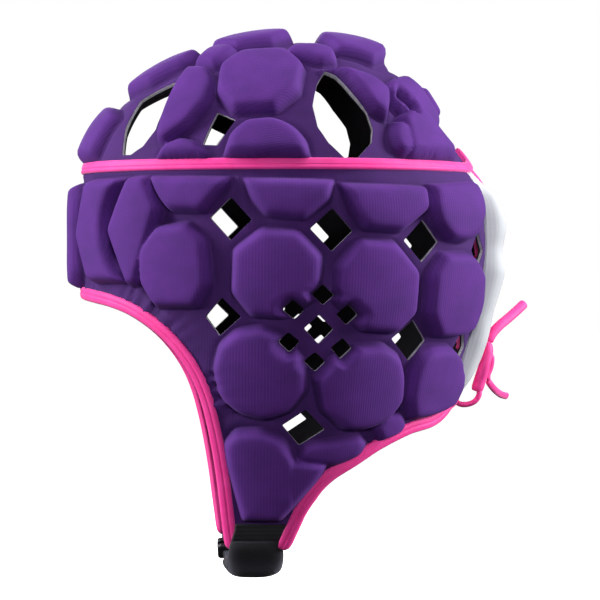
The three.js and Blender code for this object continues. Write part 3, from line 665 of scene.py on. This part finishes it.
def cloth(name, chart, outline, holes, pads, extra_height, hold, spacing, cover):
    """A padded cloth panel: outer cover, lining, and the foam core at its cut edges."""
    contours = [(pad, pad.contour(level, CONTOUR_STEP)) for pad in pads for level in CONTOUR_LEVELS]
    extra = [pad.solve(chart, loop) for pad, loop in contours if loop is not None]
    extra = np.vstack(extra) if extra else NO_POINTS

    def lift_at(uv):
        turn, drop = chart.spot(uv)
        lift = pad_height(base(turn, drop), pads) * (hold(turn, drop) * held_at_holes(uv, holes))
        soft = 1 - PAD_STIFFNESS * np.clip(lift / PAD_RISE, 0, 1)
        return lift + extra_height(turn, drop, uv) * soft

    raised = []
    build = Builder()

    def lay(uv, lift, faces, slots):
        build.add(skin(*chart.spot(uv), lift), faces, uv, slots)
        raised.append(raised_share(lift))

    uv, tris = triangulated(outline, holes, extra, spacing)
    lay(uv, lift_at(uv), tris, COVER)
    uv, tris = triangulated(outline, holes, NO_POINTS, LINING_SPACING)
    lay(uv, np.full(len(uv), -CLOTH_WALL), tris[:, ::-1], LINER)
    for loop in [outline] + holes:
        n = len(loop)
        outer = loop is outline
        following = np.roll(loop, -1, axis=0) - np.roll(loop, 1, axis=0)
        side = unit(np.stack([-following[:, 1], following[:, 0]], -1))
        into = np.where((inside(loop + side * 0.3, loop) != outer)[:, None], side, -side)
        lift = lift_at(loop)
        low = np.full(n, -CLOTH_WALL)
        lifts = [lift - fall for fall in CUT_FALLS] + [low + CORE_FROM, low]
        turned = (flat_cross(loop, np.roll(loop, -1, axis=0)).sum() > 0) == outer
        faces = [face[::-1] if turned else face for face in strip_faces(n, len(CUT_WAYS))]
        slots = [COVER] * (3 * n) if outer else [COVER] * n + [CORE] * (2 * n)
        rows = np.vstack([loop + into * way for way in CUT_WAYS])
        lay(rows, np.concatenate(lifts), faces, slots + [LINER] * n)
    piece = build.piece(name, [cover, foam, lining])
    # Share of the rise at each point, by which the purple knit paints shade into the grooves between pads
    layer = piece.data.attributes.new("raised", "FLOAT", "POINT")
    layer.data.foreach_set("value", np.concatenate(raised).astype(np.float32))
    return piece


def lofted(places, across, high, section, wide=1.0, thick=1.0):
    """Copies of a section (across, high) along places, with its two scales at each of them."""
    n = len(places)
    u = np.outer(np.broadcast_to(wide, n), section[:, 0])[..., None]
    v = np.outer(np.broadcast_to(thick, n), section[:, 1])[..., None]
    return (places[:, None] + across[:, None] * u + high[:, None] * v).reshape(-1, 3)


def swept(places, across, high, section, wide=1.0, thick=1.0, closed=False):
    """Points, faces and flat map of a section swept along places."""
    n, m = len(places), len(section)
    points = lofted(places, across, high, section, wide, thick)
    uvs = np.stack([np.repeat(run_along(places), m), np.tile(run_along(section), n)], -1)
    faces = strip_faces(m, n, closed)
    if not closed:
        faces += [list(range(m))[::-1], [(n - 1) * m + i for i in range(m)]]
    volume = 0.0
    for first, *others in faces:
        for b, c in zip(others, others[1:]):
            volume += np.dot(points[first], np.cross(points[b], points[c]))
    if volume < 0:
        faces = [face[::-1] for face in faces]
    return points, faces, uvs


# Materials
def tree_of(name):
    material = bpy.data.materials.new(name)
    material.use_nodes = True
    tree = material.node_tree
    return material, tree, tree.nodes["Principled BSDF"]


def set_inputs(made, values):
    for socket, value in values.items():
        made.inputs[socket].default_value = value


def node(tree, kind, values=None, **settings):
    made = tree.nodes.new(kind)
    for key, value in settings.items():
        setattr(made, key, value)
    set_inputs(made, values or {})
    return made


def maths(tree, operation, a, b):
    made = tree.nodes.new("ShaderNodeMath")
    made.operation = operation
    for index, value in enumerate((a, b)):
        if isinstance(value, (int, float)):
            made.inputs[index].default_value = value
        else:
            tree.links.new(value, made.inputs[index])
    return made.outputs[0]


def weighted(tree, *terms):
    """Sum of sockets, each times its share."""
    parts = [maths(tree, "MULTIPLY", source, share) for source, share in terms]
    total = parts[0]
    for part in parts[1:]:
        total = maths(tree, "ADD", total, part)
    return total


def ramp(tree, source, stops):
    made = tree.nodes.new("ShaderNodeValToRGB")
    for element, (position, colour) in zip(made.color_ramp.elements, stops):
        element.position = position
        element.color = (*colour, 1.0)
    tree.links.new(source, made.inputs[0])
    return made.outputs[0]


def flat_map(tree, output="UV"):
    return node(tree, "ShaderNodeTexCoord").outputs[output]


def wave(tree, source, period, direction, distortion):
    values = {"Scale": 2 * math.pi / (20 * period), "Distortion": distortion}
    values.update({"Detail": 1.0, "Detail Scale": 1.5})
    made = node(tree, "ShaderNodeTexWave", values, bands_direction=direction)
    tree.links.new(source, made.inputs["Vector"])
    return made.outputs["Fac"]


def noise(tree, source, size):
    made = node(tree, "ShaderNodeTexNoise", {"Scale": 1.0 / size, "Detail": 3.0, "Roughness": 0.55})
    tree.links.new(source, made.inputs["Vector"])
    return made.outputs["Fac"]


def surface(tree, shader, colour, height, bump, rough_source, spread, rough_from):
    """Joins colour, bump (strength, depth in metres) and a varied roughness to the shader."""
    tree.links.new(colour, shader.inputs["Base Color"])
    made = node(tree, "ShaderNodeBump", {"Strength": bump[0], "Distance": bump[1]})
    tree.links.new(height, made.inputs["Height"])
    tree.links.new(made.outputs[0], shader.inputs["Normal"])
    varied = maths(tree, "ADD", maths(tree, "MULTIPLY", rough_source, spread), rough_from)
    tree.links.new(varied, shader.inputs["Roughness"])


def fuzz(shader, weight, rough, tint, specular):
    set_inputs(shader, {"Sheen Weight": weight, "Sheen Roughness": rough, "Sheen Tint": (*tint, 1.0),
                        "Specular IOR Level": specular})


def knit(name, dark, light, rib, row, bump, sheen, tint, rough=0.85, blotch=14.0, painted_groove_shade=1.0):
    """Knitted cover: fine ribs, stitches across them, slow colour changes, and painted shade that darkens the
    colour in the low grooves between pads.
    """
    material, tree, shader = tree_of(name)
    uv = flat_map(tree)
    ribs = wave(tree, uv, rib, "X", 0.6)
    stitch = maths(tree, "MULTIPLY", ribs, wave(tree, uv, row, "Y", 0.4))
    slow = noise(tree, uv, blotch)
    height = weighted(tree, (ribs, 0.55), (stitch, 0.45), (noise(tree, uv, 0.5), 0.5))
    colour = ramp(tree, weighted(tree, (slow, 0.8), (stitch, 0.2)), [(0.25, dark), (0.75, light)])
    # Painted shade: the colour is scaled down to this share where the 'raised' attribute is low, in the
    # grooves between pads
    if painted_groove_shade < 1:
        raised = node(tree, "ShaderNodeAttribute", attribute_name="raised").outputs["Fac"]
        scaled = node(tree, "ShaderNodeVectorMath", operation="SCALE")
        tree.links.new(colour, scaled.inputs[0])
        shade = maths(tree, "ADD", maths(tree, "MULTIPLY", raised, 1 - painted_groove_shade), painted_groove_shade)
        tree.links.new(shade, scaled.inputs["Scale"])
        colour = scaled.outputs[0]
    surface(tree, shader, colour, height, (bump, 0.00012), slow, 0.12, rough - 0.06)
    fuzz(shader, sheen, 0.45, tint, 0.3)
    return material


def tape(name, dark, light, rough=0.6):
    """Woven tape: fine weave along and across its length."""
    material, tree, shader = tree_of(name)
    uv = flat_map(tree)
    weave = wave(tree, uv, 0.5, "X", 0.2)
    crossed = maths(tree, "MULTIPLY", weave, wave(tree, uv, 0.6, "Y", 0.2))
    slow = noise(tree, uv, 9.0)
    height = weighted(tree, (crossed, 1.0), (noise(tree, uv, 0.4), 0.5))
    colour = ramp(tree, weighted(tree, (slow, 0.75), (weave, 0.25)), [(0.25, dark), (0.8, light)])
    surface(tree, shader, colour, height, (0.35, 0.0001), slow, 0.15, rough - 0.08)
    fuzz(shader, 0.35, 0.4, (1.0, 0.75, 0.9), 0.4)
    return material


def plastic(name, colour, rough):
    material, tree, shader = tree_of(name)
    position = flat_map(tree, "Object")
    grain = noise(tree, position, 0.0006)
    lighter = tuple(min(c * 1.8 + 0.004, 1.0) for c in colour)
    shade = ramp(tree, noise(tree, position, 0.006), [(0.3, colour), (0.75, lighter)])
    surface(tree, shader, shade, grain, (0.25, 0.00005), grain, 0.2, rough - 0.1)
    return material


VIOLET, PLAIN, COOL = (0.55, 0.3, 1.0), (1.0, 1.0, 1.0), (0.6, 0.6, 0.8)
# The purple knit paints shade into the grooves between pads, down to 0.6 of its colour
purple = knit("purple_knit", (0.066, 0.013, 0.165), (0.106, 0.022, 0.238), 1.1, 0.9, 0.38, 0.1, VIOLET,
              painted_groove_shade=0.6)
foam = knit("foam_core", (0.30, 0.28, 0.34), (0.62, 0.60, 0.66), 0.8, 0.7, 0.5, 0.1, PLAIN, 0.9, 3.0)
lining = knit("black_lining", (0.004, 0.004, 0.006), (0.011, 0.011, 0.015), 0.9, 0.8, 0.6, 0.08, COOL, 0.9)
white = knit("white_knit", (0.50, 0.52, 0.56), (0.60, 0.61, 0.64), 1.1, 0.9, 0.2, 0.2, PLAIN)
pink = tape("pink_tape", (0.90, 0.022, 0.28), (1.0, 0.065, 0.40))
lace_pink = tape("pink_lace", (0.92, 0.025, 0.28), (1.0, 0.08, 0.42), 0.55)
webbing = knit("black_webbing", (0.006, 0.006, 0.009), (0.017, 0.017, 0.022), 2.0, 0.8, 1.0, 0.2, COOL, 0.75)
sleeve_cloth = knit("black_sleeve_knit", (0.010, 0.010, 0.014), (0.022, 0.022, 0.028), 0.9, 0.8, 0.5, 0.3,
                    (0.6, 0.6, 0.75), 0.8)
buckle_black = plastic("black_plastic", (0.012, 0.012, 0.015), 0.42)
buckle_grey = plastic("grey_side_stripe", (0.22, 0.23, 0.25), 0.5)


# Edges of the band, left side, as smooth curves of turn and drop
def edge_curve(rows, step=1.2):
    return curve_through(BandChart.flat(*np.transpose(rows)), step)


REAR_ROWS = EDGE_ROWS[FLAP_REAR_ROW:-1]
face_half = edge_curve(EDGE_ROWS[:FLAP_FRONT_ROW + 1])
rear_low = edge_curve(REAR_ROWS)


def mirrored_uv(uv):
    return uv * [-1, 1]


def down_line(turn, start, end, count):
    """Flat places along one turn, without the two ends."""
    return BandChart.flat(np.full(count - 2, turn), np.linspace(start, end, count)[1:-1])


def band_outline():
    turns = np.linspace(-BACK_SEAM_TURN, BACK_SEAM_TURN, 380)
    top = BandChart.flat(turns, band_top(turns))
    seam = down_line(BACK_SEAM_TURN, band_top(BACK_SEAM_TURN), REAR_ROWS[-1][1], 90)
    flap = np.linspace(rear_low[0], face_half[-1], 18)[1:-1]
    left = np.vstack([seam, rear_low[::-1], flap, face_half[::-1]])
    return np.vstack([top, left, mirrored_uv(left[::-1])[1:]])


def hole_loops(chart, table, step=0.8):
    loops = []
    for turn, drop, corners, radius in table:
        loop = rounded_loop(corners, radius, step)
        loops += [Patch(turn, drop, mirror).solve(chart, loop) for mirror in (False, True)]
    return loops


def vent_loop(table, step=1.0, radius=0.9):
    return rounded_loop(CrownChart.flat(*np.transpose(table)), radius, step)


def ripple(uv, height, waves, shifts=(0, 0)):
    """Soft unevenness of the cloth."""
    return height * np.sin(uv[:, 0] * waves[0] + shifts[0]) * np.sin(uv[:, 1] * waves[1] + shifts[1])


edge_tree = tree_of_points(np.vstack([face_half, mirrored_uv(face_half)]))
edge_run = np.tile(run_along(face_half), 2)
GATHER_REACH = 24
GATHER_HEIGHT = 0.8


def gathers(turn, drop, uv):
    """Small puckers where the face binding pulls the cloth, and a groove below the crown's tape."""
    height = np.zeros(len(uv))
    for i, (x, y) in enumerate(uv.tolist()):
        _, index, distance = edge_tree.find((x, y, 0.0))
        if distance < GATHER_REACH:
            run = edge_run[index]
            slow = 0.55 + 0.45 * math.sin(run * 0.11 + 0.8)
            fold = math.sin(run * 0.9 + 1.9 * math.sin(run * 0.23)) + 0.4 * math.sin(run * 1.6 + 0.6)
            above_flap = min(max((0.78 - drop[i]) / 0.08, 0.0), 1.0)
            fade = math.exp(-max(distance - 5, 0) / 4.5)
            height[i] = GATHER_HEIGHT * above_flap * slow * fold * fade
    height += ripple(uv, 0.16, (0.21, 0.27), (1.3, 0.4))
    below = (drop - band_top(turn)) * CAP_DROP
    return height - 0.45 * np.exp(-((below - 3.4) / 0.9) ** 2)


def uneven(turn, drop, uv):
    return ripple(uv, 0.16, (0.19, 0.23), (0.7, 2.1))


def held(away, reach):
    """Share of the height that a binding leaves, by the way from it in millimetres."""
    return 0.12 + 0.88 * np.sqrt(np.clip(away / reach, 0, 1))


def crown_hold(turn, drop):
    return held((crown_rim(turn) - drop) * CAP_DROP, 4.5)


def band_hold(turn, drop):
    return held((drop - band_top(turn)) * CAP_DROP - 2.0, 2.6)


def full(turn, drop):
    return 1.0


COVER_SPACING = 1.9
PANEL_SPACING = 1.3
crown_turns = np.linspace(-180, 180, 420, endpoint=False)
crown_outline = CrownChart.flat(crown_turns, crown_rim(crown_turns))
crown_holes = hole_loops(CrownChart, CROWN_HOLES)
for vent in (FRONT_VENT, REAR_VENT):
    crown_holes += [vent_loop(vent), mirrored_uv(vent_loop(vent))]
crown_holes += [vent_loop(TOP_VENT), vent_loop(LOW_VENT)]
crown = cloth("crown_padding", CrownChart, crown_outline, crown_holes, pads_from(CROWN_PADS), uneven,
              crown_hold, COVER_SPACING, purple)
stands_for(crown, "crown_panel")
band_holes = hole_loops(BandChart, BAND_HOLES)
side = cloth("side_padding", BandChart, band_outline(), band_holes, pads_from(BAND_PADS), gathers,
             band_hold, COVER_SPACING, purple)
stands_for(side, "side_panel")

# Puff of the white back panels: share of the way down, then turn
PANEL_ROWS = np.array([
    [0.0, 0.0], [0.05, 0.12], [0.12, 0.8], [0.25, 1.0], [0.35, 0.76], [0.45, 1.0], [0.62, 0.8], [0.74, 0.92],
    [0.9, 0.66], [1.0, 0.12],
])
PANEL_COLUMNS = np.array([
    [159.0, 0.1], [160.2, 0.5], [161.4, 0.8], [164.0, 1.0], [167.4, 0.95], [169.0, 0.3], [170.0, 0.08],
    [175.0, 0.06],
])
PANEL_START = BACK_SEAM_TURN + 0.2
PANEL_FOOT = 0.7095
SLIT_FOOT = 0.674
PANEL_LOW = [(164, 0.705), (169, 0.7), (172.6, 0.696), (174.6, 0.688), (SLIT_TURN, SLIT_FOOT)]
EYELET_RADIUS = 3.1


def panel_outline():
    low = edge_curve([(PANEL_START, PANEL_FOOT)] + PANEL_LOW, 0.9)
    turns = np.linspace(PANEL_START, SLIT_TURN, 30)
    top = BandChart.flat(turns, band_top(turns))
    slit = down_line(SLIT_TURN, band_top(SLIT_TURN), SLIT_FOOT, 100)
    seam = down_line(PANEL_START, PANEL_FOOT, band_top(PANEL_START), 100)
    return np.vstack([top, slit, low[::-1], seam])


def panel_puff(turn, drop, uv):
    at = np.abs(turn)
    share = (drop - band_top(at)) / (0.702 - band_top(at))
    puff = smooth_at(share, *PANEL_ROWS.T) * smooth_at(at, *PANEL_COLUMNS.T)
    return PANEL_RISE * puff + ripple(uv, 0.1, (0.5, 0.33))


eyelet_ring = EYELET_RADIUS * circle(24)[:, ::-1] * [-1, 1]
SIDES = ((False, "left"), (True, "right"))
for mirror, side_name in SIDES:
    outline = mirrored_uv(panel_outline())[::-1] if mirror else panel_outline()
    eyelets = [Patch(EYELET_TURN, drop, mirror).solve(BandChart, eyelet_ring) for drop in EYELET_DROPS]
    panel = cloth("back_padding_" + side_name, BandChart, outline, eyelets, [], panel_puff, full,
                  PANEL_SPACING, white)
    stands_for(panel, "back_panel_" + side_name)


# Bindings
def tape_frame(uv, turned=1.0):
    turn, drop = BandChart.spot(uv)
    places = base(turn, drop)
    high = outward(turn, drop)
    return places, unit(np.cross(heading(places), high)) * turned, high


TAPE_TOP = BINDING_PROUD
TAPE_FLOOR = -CLOTH_WALL - BINDING_PROUD
TAPE_BACK = BINDING_WIDTH + SEAM_GAP
TAPE_PEAK = 1.6
TAPE_PEAK_TURN = 14
EDGE_SECTION = rounded_loop([
    (-0.9, TAPE_TOP - 0.55), (0.2, TAPE_TOP), (1.5, TAPE_TOP), (2.0, TAPE_TOP - 0.35), (2.6, TAPE_TOP + 0.1),
    (BINDING_WIDTH - 0.6, TAPE_TOP - 0.2), (TAPE_BACK, TAPE_TOP - 1.9), (TAPE_BACK, TAPE_FLOOR + 1.9),
    (BINDING_WIDTH - 0.8, TAPE_FLOOR), (-0.9, TAPE_FLOOR + 0.4),
], 1.1, 0.7)


def tapered(places, both=True):
    """Scale of a tape along its run: narrower over the last millimetres of its tails."""
    run = run_along(places)
    from_end = np.minimum(run, run[-1] - run) if both else run
    return np.interp(from_end, [0, 0.8, 2.4, 5], [0.66, 0.84, 0.96, 1.0])


def tail_of(end, inner, step=1.2):
    """Places that lead a tape on past its end, away from an inner place."""
    count = int(TAIL_DROP / step)
    return end + unit(end - inner) * TAIL_DROP * np.arange(1, count + 1)[:, None] / count


def edge_tape(name, node_name, frame_of_tape, both=True):
    taper = tapered(frame_of_tape[0], both)
    piece = mesh_piece(name, *swept(*frame_of_tape, EDGE_SECTION, taper, taper), [pink])
    stands_for(piece, node_name)


face_left = np.vstack([face_half, tail_of(face_half[-1], face_half[-6])])
face_run = np.vstack([mirrored_uv(face_left[::-1])[:-1], face_left])
edge_tape("face_tape", "face_binding", tape_frame(face_run))

slit_drops = [0.64, 0.58, 0.5, 0.42, 0.35, 0.29, float(band_top(SLIT_TURN)) - 0.002]
rear_curve = edge_curve(REAR_ROWS + PANEL_LOW + [(SLIT_TURN, drop) for drop in slit_drops])
rear_run = np.vstack([tail_of(rear_curve[0], rear_curve[5])[::-1], rear_curve])
for mirror, side_name in SIDES:
    rear_frame = tape_frame(mirrored_uv(rear_run), -1.0) if mirror else tape_frame(rear_run)
    edge_tape("rear_tape_" + side_name, "rear_binding_" + side_name, rear_frame, False)


def crown_tape():
    """The tape over the seam, with its peak over the slit."""
    turns = np.linspace(-180, 180, 480, endpoint=False)
    drops = seam_at(turns)
    high = outward(turns, drops)
    down = -unit(np.cross(high, backward(turns, drops)))
    half = BINDING_WIDTH / 2 + 0.1
    section = rounded_loop([
        (-half, TAPE_FLOOR + 0.4), (-half, TAPE_TOP - 0.5), (-half + 0.7, TAPE_TOP + 0.2),
        (0.3, TAPE_TOP + 0.35), (0.75, TAPE_TOP), (1.2, TAPE_TOP + 0.35), (half - 0.6, TAPE_TOP + 0.2),
        (half, TAPE_TOP - 0.5), (half, TAPE_FLOOR + 0.4), (0, TAPE_FLOOR),
    ], 0.7, 0.6)
    points, faces, uvs = swept(base(turns, drops), down, high, section, closed=True)
    peak = TAPE_PEAK * np.exp(-((np.abs(turns) - 180) / TAPE_PEAK_TURN) ** 2)
    outer = np.tile(section[:, 1] > -CLOTH_WALL / 2, len(turns))
    points += np.repeat(high * peak[:, None], len(section), 0) * outer[:, None]
    return mesh_piece("crown_tape", points, faces, uvs, [pink])


stands_for(crown_tape(), "crown_binding")

# Chin strap: a loop of webbing from flap to flap, a padded sleeve and a buckle.
# Its rows hold the reach to the side and the drop to the chin, as shares
STRAP_ROWS = [(1.0, 0.0), (0.985, 0.3), (0.93, 0.54), (0.8, 0.76), (0.6, 0.9), (0.32, 0.98), (0.0, 1.0)]
CHIN_DROP = 25.0
STRAP_HALF = 12.5
STRAP_LEAN = 2.2
STRAP_STEP = 0.8
LEAN_RUN = 11
STRAP_SEAT = 0.1
# Places of the sleeve and the buckle, as shares of the strap's run
SLEEVE_START, SLEEVE_END = 0.06, 0.68
BUCKLE_START = 0.79
BUCKLE_SPAN = 0.075


def strap_curve():
    turn = (EDGE_ROWS[FLAP_FRONT_ROW][0] + EDGE_ROWS[FLAP_REAR_ROW][0]) / 2
    top = skin(turn, EDGE_ROWS[FLAP_FRONT_ROW][1], np.array(-CLOTH_WALL / 2))
    top[2] -= STRAP_SEAT
    half_way = [(top[0] * reach, top[1], top[2] - CHIN_DROP * drop) for reach, drop in STRAP_ROWS]
    line = curve_through(half_way + [(-x, y, z) for x, y, z in half_way[:-1][::-1]], STRAP_STEP)
    order = np.arange(len(line))
    share = np.clip(np.minimum(order, order[::-1]) * STRAP_STEP / LEAN_RUN, 0, 1)
    line[:, 1] -= STRAP_LEAN * share ** 2 * (3 - 2 * share)
    return line


STRAP_LINE = strap_curve()
STRAP_RUN = run_along(STRAP_LINE) / run_along(STRAP_LINE)[-1]


def strap_stations(start, end, count):
    places = places_at(np.linspace(start, end, count), STRAP_RUN, STRAP_LINE)
    across = np.repeat([[0.0, 1.0, 0.0]], count, 0)
    return places, across, unit(np.cross(heading(places), across))


def bevelled_bar(wide, low, high, bevel, radius, step):
    return rounded_loop([
        (-wide, -low), (-wide, low), (-wide + bevel, high), (wide - bevel, high), (wide, low), (wide, -low),
        (wide - bevel, -high), (-wide + bevel, -high),
    ], radius, step)


webbing_section = bevelled_bar(STRAP_HALF, 0.5, 1.0, 0.6, 0.5, 0.9)
strap = mesh_piece("chin_webbing", *swept(*strap_stations(0, 1, 150), webbing_section), [webbing])
stands_for(strap, "chin_strap")

# Half width and half thickness of the sleeve in millimetres along its run
SLEEVE_WIDE = np.array([
    [0.0, 12.2], [0.03, 12.9], [0.13, 13.6], [0.3, 13.6], [0.5, 12.2], [0.7, 12.6], [0.95, 13.4], [1.0, 12.8],
])
SLEEVE_THICK = np.array([
    [0.0, 2.4], [0.04, 3.6], [0.14, 4.2], [0.5, 4.6], [0.85, 4.2], [0.96, 3.6], [1.0, 2.4],
])
SLEEVE_SIZE = np.array([15.2, 4.1])


def sleeve_piece(count=110):
    ring = circle(72)
    section = np.sign(ring) * np.abs(ring) ** [0.62, 0.9]
    run = np.linspace(0, 1, count)
    wide = smooth_at(run, *SLEEVE_WIDE.T) / SLEEVE_SIZE[0]
    thick = smooth_at(run, *SLEEVE_THICK.T) / SLEEVE_SIZE[1]
    tube = swept(*strap_stations(SLEEVE_START, SLEEVE_END, count), section * SLEEVE_SIZE, wide, thick)
    return mesh_piece("chin_pad_sleeve", *tube, [sleeve_cloth])


sleeve = stands_for(sleeve_piece(), "chin_sleeve")

BUCKLE_PLAY = 0.3
BUCKLE_WALL = 2.2
# Bars of the buckle: start and end as shares of its run, then thickness as a share
BUCKLE_BARS = [(0.0, 0.3, 1.0), (0.7, 1.0, 1.0), (0.42, 0.58, 0.8)]


def buckle_piece(n=12):
    """Two-bar slide: a rounded frame round the strap, with a bar across it and grey faces along its outer
    sides.
    """
    build = Builder()
    slot = STRAP_HALF + BUCKLE_PLAY
    wide = slot + BUCKLE_WALL
    bar = bevelled_bar(wide, 2.6, 3.5, 1.2, 1.1, 0.8)
    hole = rounded_loop([(-slot, -1.3), (-slot, 1.3), (slot, 1.3), (slot, -1.3)], 0.3, 0.9)
    swell = 1 - 0.10 * np.abs(np.linspace(-1, 1, n)) ** 3
    for start, end, thick in BUCKLE_BARS:
        ends = (BUCKLE_START + BUCKLE_SPAN * share for share in (start, end))
        places, across, high = strap_stations(*ends, n)
        section = bar * [1.0, thick]
        m = len(section)
        outer = lofted(places, across, high, section, 0.97 + 0.03 * swell, swell)
        at_side = (np.abs(section[:, 0]) > wide - 0.25) & (np.abs(section[:, 1]) < 1.3)
        faces = [face[::-1] for face in strip_faces(m, n)]
        for grey in (0, 1):
            chosen = [face for face in faces if (at_side[face[0] % m] and at_side[face[1] % m]) == grey]
            build.add(outer, chosen, np.tile(section, (n, 1)), grey)
        inner = lofted(places, across, high, hole)
        build.add(inner, strip_faces(len(hole), n), np.tile(hole, (n, 1)), 0)
        flat, tri = flat_triangles(np.vstack([section, hole]), loop_edges([section, hole]))
        tri = tri[in_region(flat[tri].mean(1), section, [hole])]
        at_hole = inside(flat * 0.999, hole * 1.02)
        for s, turned in ((0, -1), (n - 1, 1)):
            scale = np.where(at_hole, 1.0, swell[s])[:, None]
            points = places[s] + across[s] * flat[:, :1] + high[s] * flat[:, 1:] * scale
            build.add(points, tri[:, ::turned], flat, 0)
    return build.piece("strap_buckle", [buckle_black, buckle_grey])


stands_for(buckle_piece(), "buckle")


# Lace
def carried_frame(path, first):
    """Directions across the path that turn as little as possible along it."""
    along = heading(path)
    across = np.zeros_like(path)
    vector = np.asarray(first, float)
    for i in range(len(path)):
        vector = unit(vector - along[i] * (vector @ along[i]))
        across[i] = vector
    return across, unit(np.cross(along, across))


def lace_tube(path, first, wide, thick, count=20, bulge=1.0):
    """An oval tube along a path, narrower at its two ends."""
    oval = circle(count) * [wide / 2, thick / 2]
    run = run_along(path)
    from_end = np.minimum(run, run[-1] - run)
    scale = bulge * (0.82 + 0.18 * np.sqrt(np.clip(from_end / 0.8, 0, 1)))
    return swept(path, *carried_frame(path, first), oval, scale, scale)


UNDER_CLOTH = -5.2
OVER_CLOTH = 2.6
OVER_SLIT = 3.2


def lace_route():
    """In and out of the eyelets, from the lowest pair to the highest, changing sides."""
    route = []
    for i, drop in enumerate(EYELET_DROPS[::-1]):
        turn = EYELET_TURN if i % 2 == 0 else -EYELET_TURN
        stops = [(-turn, UNDER_CLOTH), (-turn, OVER_CLOTH), (180.0, OVER_SLIT), (turn, OVER_CLOTH),
                 (turn, UNDER_CLOTH)]
        route += [skin(at, drop, np.array(lift)) for at, lift in stops]
    return curve_through(route, 0.7)


lacing = mesh_piece("lacing", *lace_tube(lace_route(), (0, 0, 1), 3.6, 2.4, 16), [lace_pink])
stands_for(lacing, "lace")

# Free ends and knot: listed routes, to the left, back and up from the middle of the slit at the last eyelets
SLIT_MIDDLE = base(180.0, EYELET_DROPS[-1])
LONG_END = [(0.5, 9.2, 3.4), (0.2, 10.2, 5.8), (-1.2, 12.4, 8.8), (-3.4, 15.6, 11.8), (-6.4, 19.6, 14.8),
            (-10, 24.2, 18.4), (-14, 29.2, 22.6)]
SHORT_END = [(-1.6, 9.1, -16.2), (-3.4, 10.6, -18.2), (-7.4, 12.8, -20.4), (-13, 15.2, -22.2),
             (-20, 18.2, -23.8), (-28, 22, -24.8)]
KNOT = [(0.5, 8.9, 3.1), (1.5, 8.3, -3), (2, 6.8, -9), (0.5, 5, -15.5), (0, 3.2, -21.5)]
SECOND_STRAND = [(0.6, 10.2, -2.5), (-0.8, 10.6, -6), (-1.5, 9.9, -10), (-1.3, 8.7, -13.4),
                 (-1.45, 8.9, -15.7)]
UNDER_LOOP = [(0.4, 4.6, -19.5), (0.8, 4.3, -23.5), (0.6, 2.4, -26.4), (0.4, -1.2, -28), (0.2, -5.4, -27.8),
              (0, -8.6, -25.2)]
KNOT_SWELL = ([0, 0.06, 0.16, 0.5, 0.62, 0.9, 1], [0.55, 0.86, 1.0, 0.98, 1.02, 1.04, 0.9])
SECOND_SWELL = ([0, 0.15, 0.5, 1], [0.6, 1.0, 1.05, 0.95])


def routed(route, step):
    return curve_through(SLIT_MIDDLE + np.array(route), step)


def free_end(name, node_name, route, wide, thick, first):
    path = routed(route, 0.6)
    piece = mesh_piece(name, *lace_tube(path, first, wide, thick), [lace_pink])
    stands_for(piece, node_name)


def knot_piece():
    build = Builder()
    for route, wide, thick, count, swell in ((KNOT, 6.4, 6.0, 26, KNOT_SWELL),
                                             (SECOND_STRAND, 4.0, 3.6, 20, SECOND_SWELL)):
        path = routed(route, 0.5)
        bulge = np.interp(np.linspace(0, 1, len(path)), *swell)
        build.add(*lace_tube(path, (1, 0, 0), wide, thick, count, bulge), 0)
    build.add(*lace_tube(routed(UNDER_LOOP, 0.6), (1, 0, 0), 3.8, 2.8, 18), 0)
    return build.piece("lace_bow_knot", [lace_pink])


free_end("lace_free_end_long", "lace_end_long", LONG_END, 4.9, 3.0, (0, -0.6, 0.8))
free_end("lace_free_end_short", "lace_end_short", SHORT_END, 3.6, 2.2, (0, 0.3, 1.0))
stands_for(knot_piece(), "lace_knot")


# Studio
WHITE = (1.0, 1.0, 1.0, 1.0)


def studio_floor():
    material, tree, shader = tree_of("pale_floor")
    set_inputs(shader, {"Base Color": (0.9, 0.9, 0.9, 1.0), "Roughness": 0.9, "Emission Color": WHITE,
                        "Emission Strength": 1.0})
    bpy.ops.mesh.primitive_plane_add(size=40.0, location=(0, 0, -0.34))
    floor = bpy.context.active_object
    floor.name = "studio_floor"
    floor.data.materials.append(material)
    floor.visible_diffuse = False
    floor.visible_glossy = False


studio_floor()

# Soft lights: place, height that they aim at, size and power
LIGHTS = {
    "key_front": ((0.12, -1.5, 0.4), -0.12, (0.4, 1.2), 38),
    "key_back": ((0.12, 1.5, 0.4), -0.12, (0.4, 1.2), 42),
    "top_soft": ((0.5, 0.0, 1.4), -0.1, (0.4, 0.8), 11),
    "fill_far_side": ((-1.8, -0.2, 0.5), -0.12, (0.8, 0.8), 13),
    "fill_camera": ((1.9, 0.0, 0.3), -0.12, (0.4, 0.4), 12),
}
for name, (place, aim_height, size, power) in LIGHTS.items():
    light = bpy.data.lights.new(name, "AREA")
    light.shape = "RECTANGLE"
    light.size, light.size_y = size
    light.energy = power
    holder = bpy.data.objects.new(name, light)
    holder.location = place
    away = Vector(place) - Vector((0, 0, aim_height))
    holder.rotation_euler = away.to_track_quat("Z", "Y").to_euler()
    bpy.context.scene.collection.objects.link(holder)

# The world is white to the camera and dim to the cap
AMBIENT = 0.045
world = bpy.data.worlds.new("studio_world")
bpy.context.scene.world = world
world.use_nodes = True
world_tree = world.node_tree
ambient = world_tree.nodes["Background"]
backdrop = world_tree.nodes.new("ShaderNodeBackground")
set_inputs(ambient, {0: WHITE, 1: AMBIENT})
set_inputs(backdrop, {0: WHITE, 1: 1.0})
seen = world_tree.nodes.new("ShaderNodeLightPath")
choice = world_tree.nodes.new("ShaderNodeMixShader")
world_tree.links.new(seen.outputs["Is Camera Ray"], choice.inputs[0])
world_tree.links.new(ambient.outputs[0], choice.inputs[1])
world_tree.links.new(backdrop.outputs[0], choice.inputs[2])
world_tree.links.new(choice.outputs[0], world_tree.nodes["World Output"].inputs[0])
bpy.context.scene.view_settings.view_transform = "Standard"

bpy.context.view_layer.update()
